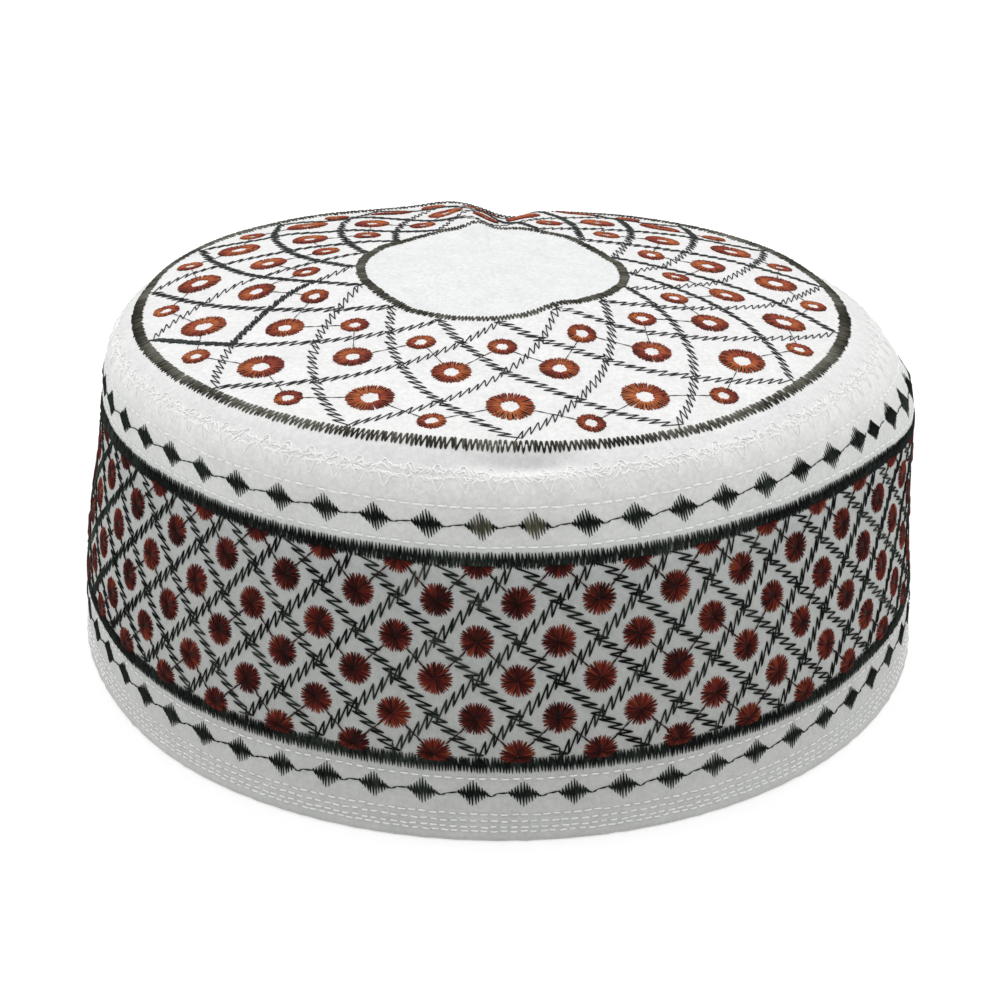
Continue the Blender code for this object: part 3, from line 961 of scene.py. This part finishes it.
# Behind, the border is darkened: painted shade at the crown's far edge. On each stroke the tone falls towards
# its outer end
behind = np.exp(-(turn_from(outer_zigzag[0][:, 0], 90.0) / 60.0) ** 2)
outer_tone = outer_tone - OUTER_BORDER_PAINTED_SHADE * behind
outer_tones = at(outer_tone + OUTER_BORDER_ENDS[0], outer_tone + OUTER_BORDER_ENDS[1])
inward = outer_zigzag[0][:, 1] > outer_zigzag[1][:, 1]
outer_tones[inward] = outer_tones[inward, ::-1]
outer_border = sew("crown_outer_border_stitches", long_stitch, CROWN_CLOTH, outer_zigzag,
                   OUTER_BORDER_THREAD, outer_tones, 0.16)
finish_piece(outer_border, olive_thread, "olive_thread", "crown_outer_border")
inner_zigzag = satin_zigzag(math.tau * CENTRE_BORDER_RADIUS, CENTRE_BORDER_WIDTH, CENTRE_BORDER_RADIUS,
                            CENTRE_BORDER_ZIG, SATIN_LEAN, 15)
inner_border = sew("crown_centre_border_stitches", long_stitch, CROWN_CLOTH, inner_zigzag,
                   CENTRE_BORDER_THREAD, dyed(inner_zigzag, 18, *CENTRE_DYE), 0.14)
finish_piece(inner_border, olive_thread, "olive_thread", "crown_centre_border")

# Crossed arcs on the crown.
# Two families of dark zigzag lines sweep from the outer border to the inner one, an eighth of a turn each,
# and cross three times on the way. They are machine stitches: a long stroke onward and a short one back.
# Here and there a line is sewn over twice, and reads as a thick cord.
CROWN_REPEATS = 16
CROWN_PHASE = 4.2
CROWN_LEAN = 6.3
CROWN_LEAN_FROM = 10.0
CROWN_LEAN_SPAN = 55.0
CROWN_LEAN_MOST = 1.2
CROWN_TURN = 268.7
ARC_OUTER = 76.3
ARC_SLOPE = 1.13
ARC_FLATTENING = 5.35
ARC_SWEEP = 45.0
ARC_ADVANCE = 2.25
ARC_ONWARD = 4.3
ARC_ASIDE = 2.1
ZIGZAG_JITTER = 0.16
ARC_THREAD_WIDTH = 0.25
ARC_THREAD = ((0.024, 0.028, 0.027), (0.080, 0.090, 0.086))
DOUBLED_STEPS = (ARC_ADVANCE / 4.0, ARC_ONWARD / 2.2, ARC_ASIDE * 0.8)
ARC_DOUBLED = (
    # way of the sweep, repeat, swept from, swept to
    (-1.0, 14, 11.0, 34.0),
    (1.0, 13, 0.5, 11.0),
)


def crown_plan(turn, radius):
    """Plan place on the crown, in millimetres, of a place in the even pattern.

    The embroidery was even while the crown lay flat. On the finished cap it is drawn wider in front and
    taken up in the crease behind, more so near the edge.
    """
    turn, radius = np.asarray(turn, float), np.asarray(radius, float)
    lean = CROWN_LEAN * np.clip((radius - CROWN_LEAN_FROM) / CROWN_LEAN_SPAN, 0.0, CROWN_LEAN_MOST)
    angle = np.radians(CROWN_TURN + turn + lean * np.sin(np.radians(turn)))
    return np.stack([radius * np.cos(angle), radius * np.sin(angle)], axis=-1)


def crown_places(strokes):
    """Angle and radius on the crown of the plan places where strokes start and end."""
    places = []
    for plan in strokes:
        angle = np.degrees(np.arctan2(plan[:, 1], plan[:, 0])) % 360.0
        places.append(at(angle, np.hypot(plan[:, 0], plan[:, 1])))
    return places


def zigzag_line(path, advance, onward, aside, generator):
    """Strokes of a zigzag along a flat path: a long one onward to its left, and a short one back."""
    steps = np.linalg.norm(np.diff(path, axis=0), axis=1)
    reach = np.concatenate([[0.0], np.cumsum(steps)])
    count = max(int(round(reach[-1] / advance)), 1)
    stops = np.linspace(0.0, reach[-1], count + 1)
    middle = np.stack([np.interp(stops, reach, path[:, axis]) for axis in (0, 1)], axis=1)
    run = np.gradient(middle, axis=0)
    run /= np.linalg.norm(run, axis=1, keepdims=True)
    left = np.stack([-run[:, 1], run[:, 0]], axis=1)
    near = middle - left * aside / 2.0 - run * (onward - advance) / 2.0
    near = near + generator.uniform(-ZIGZAG_JITTER, ZIGZAG_JITTER, near.shape)
    far = near + run * onward + left * aside + generator.uniform(-ZIGZAG_JITTER, ZIGZAG_JITTER, near.shape)
    return np.concatenate([near[:-1], far[:-1]]), np.concatenate([far[:-1], near[1:]])


def arc_path(sweep, repeat, low, high):
    """Plan places along a stretch of one arc, from the outer border inward."""
    swept = np.linspace(low, high, 60)
    radius = ARC_OUTER - ARC_SLOPE * swept + ARC_FLATTENING * (swept / ARC_SWEEP) ** 5
    return crown_plan(CROWN_PHASE + repeat * 360.0 / CROWN_REPEATS + sweep * swept, radius)


def crown_arcs(sweep, seed):
    """All the arcs that sweep one way, from the outer border to the inner one."""
    generator = np.random.default_rng(seed)
    strokes = []
    for repeat in range(CROWN_REPEATS):
        path = arc_path(sweep, repeat, 0.0, ARC_SWEEP)
        strokes.append(zigzag_line(path, ARC_ADVANCE, ARC_ONWARD, ARC_ASIDE, generator))
    for way, repeat, low, high in ARC_DOUBLED:
        if way == sweep:
            path = arc_path(sweep, repeat, low, high)
            strokes.append(zigzag_line(path, *DOUBLED_STEPS, generator))
    return crown_places(joined(strokes))


arc_thread = thread_material("arc_thread", ARC_THREAD)
for side, sweep, seed in (("left", -1.0, 21), ("right", 1.0, 22)):
    strokes = crown_arcs(sweep, seed)
    arcs = sew("crown_arcs_" + side, long_stitch, CROWN_CLOTH, strokes, ARC_THREAD_WIDTH,
               uneven(strokes, seed + 2))
    finish_piece(arcs, arc_thread, "dark_thread")

# Rings on the crown.
# In each field between the arcs sits an open ring of strokes round a white middle, rust orange with darker
# strokes between them at the rim. The dye changes to crimson and brown on the way round a ring. A thin
# thread carried on from ring to ring shows as two chains round the crown.
RING_ROWS = (
    # name, offset in repeats, radius, ring radius, hole radius, strokes
    ("small_outer", 0.5, 71.6, 3.0, 1.2, 28),
    ("large", 0.0, 65.2, 4.95, 1.8, 42),
    ("middle", 0.5, 51.8, 4.15, 1.45, 36),
    ("small_inner", 0.0, 41.0, 3.1, 1.2, 28),
)
RING_THREAD_WIDTH = 0.50
RING_RIM_WIDTH = 0.34
RING_TONE = 0.68
RING_TONE_SWING = 0.14
RING_TONE_ENDS = (0.05, -0.1)
RING_THREAD = ((0.026, 0.012, 0.009), (0.120, 0.034, 0.022), (0.310, 0.058, 0.040), (0.480, 0.130, 0.048),
               (0.600, 0.225, 0.090))
CARRIED_THREAD = ((0.020, 0.009, 0.007), (0.075, 0.035, 0.026))
CROWN_CARRIED_WIDTH = 0.20
CARRIED_UNDER = 0.4


def ring_middles(offset, radius):
    """Plan places of one row of rings."""
    turn = CROWN_PHASE + (np.arange(CROWN_REPEATS) + offset) * 360.0 / CROWN_REPEATS
    return crown_plan(turn, np.full(CROWN_REPEATS, radius))


def spokes(middle, angle, near, far):
    """Strokes outward from a middle, between two distances from it."""
    way = at(np.cos(angle), np.sin(angle))
    return middle + way * near[:, None], middle + way * far[:, None]


def ring_strokes(middles, ring, hole, count, generator):
    """Radial strokes of each ring with their tones, and the dark ones between them at its rim."""
    angle = np.arange(count) * math.tau / count
    strokes, rims = [], []
    for middle in middles:
        turned = angle + generator.uniform(-0.04, 0.04, count)
        near = hole + generator.uniform(-0.15, 0.3, count)
        far = ring + generator.uniform(-0.2, 0.14, count)
        dye = RING_TONE + generator.uniform(-0.1, 0.06)
        dye = dye + RING_TONE_SWING * np.sin(angle + generator.uniform(0.0, math.tau))
        dye = dye + generator.uniform(-0.16, 0.14, count)
        tones = at(dye + RING_TONE_ENDS[0], dye + RING_TONE_ENDS[1])
        strokes.append((*spokes(middle, turned, near, far), tones))
        turned = angle + math.pi / count + generator.uniform(-0.05, 0.05, count)
        far = ring + generator.uniform(-0.25, 0.12, count)
        near = ring * 0.5 + generator.uniform(-0.3, 0.5, count)
        rims.append(spokes(middle, turned, near, far))
    return joined(strokes), joined(rims)


ring_thread = thread_material("ring_thread", RING_THREAD)
all_rims = []
for name, offset, radius, ring, hole, count in RING_ROWS:
    generator = np.random.default_rng(int(radius))
    strokes, rims = ring_strokes(ring_middles(offset, radius), ring, hole, count, generator)
    rings = sew("crown_rings_" + name, long_stitch, CROWN_CLOTH, crown_places(strokes[:2]),
                RING_THREAD_WIDTH, strokes[2], (0.16, 0.12))
    finish_piece(rings, ring_thread, "rust_thread")
    all_rims.append(crown_places(rims))
strokes = joined(all_rims)
rim_strokes = sew("crown_ring_dark_strokes", short_stitch, CROWN_CLOTH, strokes, RING_RIM_WIDTH,
                  uneven(strokes, 35, 0.0, 0.3), (0.2, 0.26))
finish_piece(rim_strokes, ring_thread, "rust_thread")


def carried_links(middles, others, reach, other_reach):
    """Straight lengths of thread from the rim of one ring to the rim of another, cut into three strokes."""
    run = others - middles
    run = run / np.linalg.norm(run, axis=1, keepdims=True)
    first = middles + run * (reach - CARRIED_UNDER)
    last = others - run * (other_reach - CARRIED_UNDER)
    stops = [first + (last - first) * share for share in (0.0, 0.34, 0.67, 1.0)]
    return np.concatenate(stops[:-1]), np.concatenate(stops[1:])


carried_thread = thread_material("carried_thread", CARRIED_THREAD)
links = []
for first_row, second_row in ((RING_ROWS[1], RING_ROWS[0]), (RING_ROWS[3], RING_ROWS[2])):
    first_middles = ring_middles(*first_row[1:3])
    for shift in (0, 1):
        second_middles = np.roll(ring_middles(*second_row[1:3]), shift, axis=0)
        links.append(carried_links(first_middles, second_middles, first_row[3], second_row[3]))
strokes = crown_places(joined(links))
crown_links = sew("crown_carried_threads", short_stitch, CROWN_CLOTH, strokes, CROWN_CARRIED_WIDTH,
                  uneven(strokes, 31), 0.14)
finish_piece(crown_links, carried_thread, "dark_thread")

# Quilting of the crown's middle.
# The plain round in the middle is held down by very fine white running stitches: close circles in its
# centre, and dotted spokes from there to the border.
QUILT_THREAD_WIDTH = 0.17
QUILT_SPOKES = 32
QUILT_SPOKE_ENDS = (13.0, 26.5)
QUILT_SPOKE_STAGGER = 0.8
QUILT_DASH = 1.0
QUILT_PITCH = 1.7


def quilt_stitches():
    """Running stitches round the quilted circles and along the spokes."""
    strokes = []
    for ring in QUILT_RADII:
        count = int(round(math.tau * ring / QUILT_PITCH))
        turn = (np.arange(count) + ring) * 360.0 / count
        dash = 360.0 * QUILT_DASH / (math.tau * ring)
        radius = np.full(count, ring)
        strokes.append((at(turn, radius), at(turn + dash, radius)))
    for spoke in range(QUILT_SPOKES):
        first = QUILT_SPOKE_ENDS[0] + (spoke % 2) * QUILT_SPOKE_STAGGER
        near = np.arange(first, QUILT_SPOKE_ENDS[1] - QUILT_DASH, QUILT_PITCH)
        turn = np.full(len(near), (spoke + 0.5) * 360.0 / QUILT_SPOKES)
        strokes.append((at(turn, near), at(turn, near + QUILT_DASH)))
    return joined(strokes)


strokes = quilt_stitches()
quilting = sew("crown_centre_quilting", short_stitch, CROWN_CLOTH, strokes, QUILT_THREAD_WIDTH,
               uneven(strokes, 33, 0.2, 1.0), 0.02, 0.7)
finish_piece(quilting, white_thread, "white_thread")

# Band's two satin borders.
# They are close zigzags like the crown's, in near-black green thread, and frame the embroidered panel. The
# side towards the panel is sewn over again with short strokes, so it is solid and the outer side is spiky.
LOWER_BORDER_HEIGHT = 17.5
BAND_BORDER_WIDTH = 3.3
BAND_ZIG = 0.64
BAND_BORDER_THREAD = 0.36
BAND_LEAN = 0.3
BAND_DYE = (0.28, 0.2, 0.26)
BAND_FILL_SHARE = 0.55
BAND_FILL_EDGE = 0.44
# The last of these colours, a khaki, is mainly used for the painted sheen on two upper diamonds.
DARK_THREAD = ((0.002, 0.003, 0.0025), (0.011, 0.016, 0.013), (0.036, 0.050, 0.040), (0.175, 0.155, 0.098))


def satin_fill(around, inner_edge, outer_edge, zig, seed):
    """Short upright strokes side by side between two heights."""
    generator = np.random.default_rng(seed)
    count = int(round(around / zig))
    turn = (np.arange(count) + 0.5 + generator.uniform(-0.2, 0.2, count)) * 360.0 / count
    near = inner_edge + generator.uniform(-0.2, 0.2, count)
    far = outer_edge + generator.uniform(-0.35, 0.35, count)
    return at(turn, near), at(turn + generator.uniform(-0.1, 0.3, count), far)


dark_thread = thread_material("dark_thread", DARK_THREAD)
for name, height, inward, seed in (("band_upper_border", UPPER_BORDER_HEIGHT, -BAND_BORDER_WIDTH, 41),
                                   ("band_lower_border", LOWER_BORDER_HEIGHT, BAND_BORDER_WIDTH, 45)):
    round_length = math.tau * float(band_radius(height))
    inner_edge = height + inward * BAND_FILL_EDGE
    outer_edge = height + inward * (BAND_FILL_EDGE - BAND_FILL_SHARE)
    strokes = joined((satin_zigzag(round_length, BAND_BORDER_WIDTH, height, BAND_ZIG, BAND_LEAN, seed),
                      satin_fill(round_length, inner_edge, outer_edge, BAND_ZIG, seed + 1)))
    border = sew(name + "_stitches", short_stitch, BAND_CLOTH, strokes, BAND_BORDER_THREAD,
                 dyed(strokes, seed + 3, *BAND_DYE), 0.26)
    finish_piece(border, dark_thread, "dark_thread", name)

# Lattice on the band.
# Two families of slanting zigzag lines in the same dark thread cross between the borders and make a net
# of upright diamonds. It was sewn while the band lay flat, so the net is even.
PANEL_REPEATS = 35
PANEL_PHASE = 272.65
PANEL_TOP = 60.2
PANEL_ROW = 8.14
PANEL_ROWS = 6
MM_PER_DEGREE = 1.571
LATTICE_ADVANCE = 2.4
LATTICE_ONWARD = 4.9
LATTICE_ASIDE = 2.3
LATTICE_THREAD_WIDTH = 0.37
LATTICE_DYE = (0.32, 0.25, 0.25)
LATTICE_FIRST_ROW = 0.12
PANEL_STEP = 360.0 / PANEL_REPEATS
FRONT = 270.0
FRONT_TUCK = 1.5
TUCK_BEGIN = (25.0, 60.0)
TUCK_END = (100.0, 180.0)


def band_places(strokes):
    """Angle and height on the band of the places on the flat strip where strokes start and end.

    On the finished cap the strip is eased a little towards the front on each side of it.
    """
    places = []
    for flat in strokes:
        turn = turn_from(flat[:, 0] / MM_PER_DEGREE, FRONT)
        tuck = soft_step(*TUCK_BEGIN, np.abs(turn)) * (1.0 - soft_step(*TUCK_END, np.abs(turn)))
        places.append(at(FRONT + turn - FRONT_TUCK * np.sign(turn) * tuck, flat[:, 1]))
    return places


def lattice_lines(lean, seed):
    """All the lines that lean one way. They run between the crossings of the first and the last row."""
    generator = np.random.default_rng(seed)
    strokes = []
    for repeat in range(PANEL_REPEATS):
        row = np.array([LATTICE_FIRST_ROW, PANEL_ROWS - 1.0])
        angle = PANEL_PHASE + repeat * PANEL_STEP + lean * row * PANEL_STEP / 2.0
        flat = at(angle * MM_PER_DEGREE, PANEL_TOP - row * PANEL_ROW)
        strokes.append(zigzag_line(flat, LATTICE_ADVANCE, LATTICE_ONWARD, LATTICE_ASIDE, generator))
    return band_places(joined(strokes))


for side, lean, seed in (("down_right", 1.0, 51), ("down_left", -1.0, 52)):
    strokes = lattice_lines(lean, seed)
    lattice = sew("band_lattice_" + side, long_stitch, BAND_CLOTH, strokes, LATTICE_THREAD_WIDTH,
                  dyed(strokes, seed + 2, *LATTICE_DYE), 0.12)
    finish_piece(lattice, dark_thread, "dark_thread")

# Sunbursts on the band.
# A solid round of rust-coloured strokes is sewn in each field of the net, domed where the strokes pile up in
# its middle. The dye runs from orange brown to dark red, also inside one round. The first and the last row
# pass under the borders.
SUNBURST_RADIUS = 3.6
SUNBURST_STROKES = 44
SUNBURST_THREAD_WIDTH = 0.50
SUNBURST_THREAD = ((0.009, 0.004, 0.003), (0.068, 0.010, 0.008), (0.195, 0.026, 0.015), (0.340, 0.094, 0.030))
SUNBURST_TONES = (0.40, 0.62)
SUNBURST_TONE_SWING = 0.12
SUNBURST_TONE_ENDS = (-0.42, 0.12)
SHORTEST_SHARE = 0.12
UNDER_BORDER = 1.0


def sunburst_middles(row):
    """Flat places of one row of sunbursts. Every other row stands half a repeat aside."""
    angle = PANEL_PHASE + (np.arange(PANEL_REPEATS) + 0.5 * (row % 2 == 0)) * PANEL_STEP
    height = np.full(PANEL_REPEATS, PANEL_TOP - row * PANEL_ROW)
    return at(angle * MM_PER_DEGREE, height)


def sunburst_strokes(middles, generator):
    """Strokes from near the middle of each sunburst out to its uneven rim, with their tones."""
    angle = np.arange(SUNBURST_STROKES) * math.tau / SUNBURST_STROKES
    even = np.arange(SUNBURST_STROKES) % 2 == 0
    near = np.where(even, 0.15, 0.7)
    strokes = []
    for middle in middles:
        turned = angle + generator.uniform(-0.05, 0.05, SUNBURST_STROKES)
        far = SUNBURST_RADIUS - 0.12 * even + generator.uniform(-0.16, 0.1, SUNBURST_STROKES)
        dye = generator.uniform(*SUNBURST_TONES)
        dye = dye + SUNBURST_TONE_SWING * np.sin(angle + generator.uniform(0.0, math.tau))
        dye = dye + generator.uniform(-0.36, 0.30, SUNBURST_STROKES)
        tones = at(dye + SUNBURST_TONE_ENDS[0], dye + SUNBURST_TONE_ENDS[1])
        strokes.append((*spokes(middle, turned, near, far), tones))
    return joined(strokes)


def cut_between(start, end, low, high):
    """Strokes cut off at two heights, and which of them are left."""
    run = end - start
    rise = np.where(np.abs(run[:, 1]) < 1e-6, 1e-6, run[:, 1])
    to_low, to_high = (low - start[:, 1]) / rise, (high - start[:, 1]) / rise
    enter = np.clip(np.minimum(to_low, to_high), 0.0, 1.0)
    leave = np.clip(np.maximum(to_low, to_high), 0.0, 1.0)
    left = leave - enter > SHORTEST_SHARE
    return (start + run * enter[:, None])[left], (start + run * leave[:, None])[left], left


sunburst_thread = thread_material("sunburst_thread", SUNBURST_THREAD)
middles = np.concatenate([sunburst_middles(row) for row in range(PANEL_ROWS)])
burst_start, burst_end, burst_tone = sunburst_strokes(middles, np.random.default_rng(61))
burst_start, burst_end, left = cut_between(burst_start, burst_end, LOWER_BORDER_HEIGHT + 0.2,
                                           UPPER_BORDER_HEIGHT - UNDER_BORDER)
bursts = sew("band_sunbursts", short_stitch, BAND_CLOTH, band_places((burst_start, burst_end)),
             SUNBURST_THREAD_WIDTH, burst_tone[left], (0.34, 0.1))
finish_piece(bursts, sunburst_thread, "rust_thread")

# Threads carried between the sunbursts.
# The machine goes on from one sunburst to the next without cutting its thread, so each sunburst of every
# other row is tied by a dark-brown thread to its two lower neighbours.
BAND_CARRIED_WIDTH = 0.42

links = []
for row in (0, 2, 4):
    upper = sunburst_middles(row)
    lower = sunburst_middles(row + 1)
    lower[:, 0] = upper[:, 0] - PANEL_STEP / 2.0 * MM_PER_DEGREE
    for aside in (0.0, PANEL_STEP * MM_PER_DEGREE):
        links.append(carried_links(upper, lower + np.array([aside, 0.0]), SUNBURST_RADIUS, SUNBURST_RADIUS))
strokes = band_places(joined(links))
band_links = sew("band_carried_threads", short_stitch, BAND_CLOTH, strokes, BAND_CARRIED_WIDTH,
                 uneven(strokes, 63, 0.0, 0.6), 0.22)
finish_piece(band_links, carried_thread, "dark_thread")

# Diamond chains.
# Above and below the panel runs a chain of small solid diamonds in near-black thread. Each is a close zigzag
# with spiky edges, and a slack thread with a small dip joins it to the next one. Two of the upper ones, in
# the middle of the front, have a painted sheen: their middles are a lighter khaki. The upper chain ends in
# one small diamond, where it meets its start.
UPPER_DIAMOND_HEIGHT = 67.6
# Angles of the diamonds. The first twenty upper ones slide a little aside round the front.
UPPER_DIAMONDS = [199.75 + 6.7925 * number + 0.7 * math.exp(-((number - 11.5) / 4.0) ** 2)
                  for number in range(20)]
UPPER_DIAMONDS += [333.4]
UPPER_DIAMONDS += [339.5 + 6.883 * number for number in range(32)]
SMALL_DIAMOND = 20
# The middles of these two upper diamonds get a painted sheen.
PAINTED_SHEEN_DIAMONDS = (10, 11)
LOWER_DIAMOND_HEIGHT = 11.0
LOWER_DIAMONDS = [261.0 + 360.0 / 58.0 * number for number in range(58)]
DIAMOND_HALF_WIDTH = 2.95
DIAMOND_HALF_HEIGHT = 2.75
DIAMOND_STROKES = 11
DIAMOND_THREAD_WIDTH = 0.37
DIAMOND_TILT = 0.28
DIAMOND_SMALL_SIZE = 0.72
DIAMOND_SHORT_STROKE = 0.92
DIAMOND_TIP = 0.3
# Tone of the painted sheen, and the share of a diamond's width it covers.
PAINTED_SHEEN_TONE = 0.9
PAINTED_SHEEN_SHARE = 0.7
UPPER_TIE_WIDTH = 0.30
LOWER_TIE_WIDTH = 0.38


def diamond_chain(angles, height, small, painted_sheen, dips, generator):
    """Strokes of all the diamonds of a chain with their tones, and the threads between them."""
    strokes, ties = [], []
    count = 2 * DIAMOND_STROKES - 1
    per_degree = math.radians(1.0) * float(band_radius(height))
    across = np.linspace(-1.0, 1.0, DIAMOND_STROKES)
    short = np.arange(DIAMOND_STROKES) % 2 == 1
    for number, angle in enumerate(angles):
        size = DIAMOND_SMALL_SIZE if number == small else 1.0
        half = DIAMOND_HALF_WIDTH * size / per_degree
        middle = height - DIAMOND_TILT * across + generator.uniform(-0.12, 0.12)
        tall = DIAMOND_HALF_HEIGHT * size * (1.0 - np.abs(across))
        tall = tall * np.where(short, DIAMOND_SHORT_STROKE, 1.0) + DIAMOND_TIP
        low = middle - tall - generator.uniform(-0.08, 0.16, DIAMOND_STROKES)
        high = middle + tall + generator.uniform(-0.08, 0.16, DIAMOND_STROKES)
        aside = angle + across * half + generator.uniform(-0.04, 0.04, DIAMOND_STROKES)
        bottoms, tops = at(aside, low), at(aside, high)
        dye = generator.uniform(0.12, 0.45) + generator.uniform(-0.12, 0.22, count)
        if number in painted_sheen:
            rim = np.abs(np.concatenate([across, across[:-1]])) > PAINTED_SHEEN_SHARE
            dye = np.where(rim, dye, PAINTED_SHEEN_TONE + generator.uniform(-0.2, 0.1, count))
        strokes.append((np.concatenate([bottoms, tops[:-1]]), np.concatenate([tops, bottoms[1:]]), dye))
        following = angles[(number + 1) % len(angles)]
        gap = (following - angle) % 360.0 - 2.0 * DIAMOND_HALF_WIDTH / per_degree
        dip = generator.uniform(*dips)
        slack = at(angle + half + gap * np.array([0.0, 0.18, 0.45, 1.0]),
                   height + np.array([-DIAMOND_TILT, -DIAMOND_TILT - dip, generator.uniform(-0.15, 0.15),
                                      DIAMOND_TILT]))
        ties.append((slack[:-1], slack[1:]))
    return joined(strokes), joined(ties)


CHAINS = (
    # name, height, angles, number of the small one, numbers of the ones with painted sheen, dips, tie width
    ("upper", UPPER_DIAMOND_HEIGHT, UPPER_DIAMONDS, SMALL_DIAMOND, PAINTED_SHEEN_DIAMONDS, (0.0, 0.15),
     UPPER_TIE_WIDTH),
    ("lower", LOWER_DIAMOND_HEIGHT, LOWER_DIAMONDS, None, (), (0.1, 0.5), LOWER_TIE_WIDTH),
)
for name, height, angles, small, painted_sheen, dips, tie_width in CHAINS:
    generator = np.random.default_rng(len(angles))
    strokes, ties = diamond_chain(angles, height, small, painted_sheen, dips, generator)
    diamonds = sew("band_diamonds_" + name, short_stitch, BAND_CLOTH, strokes, DIAMOND_THREAD_WIDTH,
                   strokes[2], 0.14)
    finish_piece(diamonds, dark_thread, "dark_thread")
    tie_threads = sew("band_diamond_threads_" + name, short_stitch, BAND_CLOTH, ties, tie_width,
                      uneven(ties, len(angles), 0.1, 0.5), 0.12)
    finish_piece(tie_threads, dark_thread, "dark_thread")

# White running stitches.
# The cloth's layers are held by rows of white running stitches: one on each side of the upper diamonds, one
# over the lower diamonds, and four close rows that sew the hem down. Each stitch lies in a small hollow.
RUNNING_WIDTH = 0.36


def running_row(height, dash, pitch, generator):
    """One row of running stitches round the band."""
    radius = float(band_radius(height))
    count = int(round(math.tau * radius / pitch))
    turn = (np.arange(count) + generator.uniform(-0.06, 0.06, count)) * 360.0 / count
    sewn = np.degrees(dash / radius) * generator.uniform(0.85, 1.08, count)
    wander = generator.uniform(-0.09, 0.09, count)
    start = at(turn, height + wander)
    return start, at(turn + sewn, height + wander + generator.uniform(-0.07, 0.07, count))


running_generator = np.random.default_rng(71)
strokes = joined([running_row(row[0], row[3], row[4], running_generator) for row in STITCH_ROWS])
running = sew("band_running_stitches", long_stitch, BAND_CLOTH, strokes, RUNNING_WIDTH,
              uneven(strokes, 72, 0.0, 0.9), 0.16, 0.8)
finish_piece(running, white_thread, "white_thread")
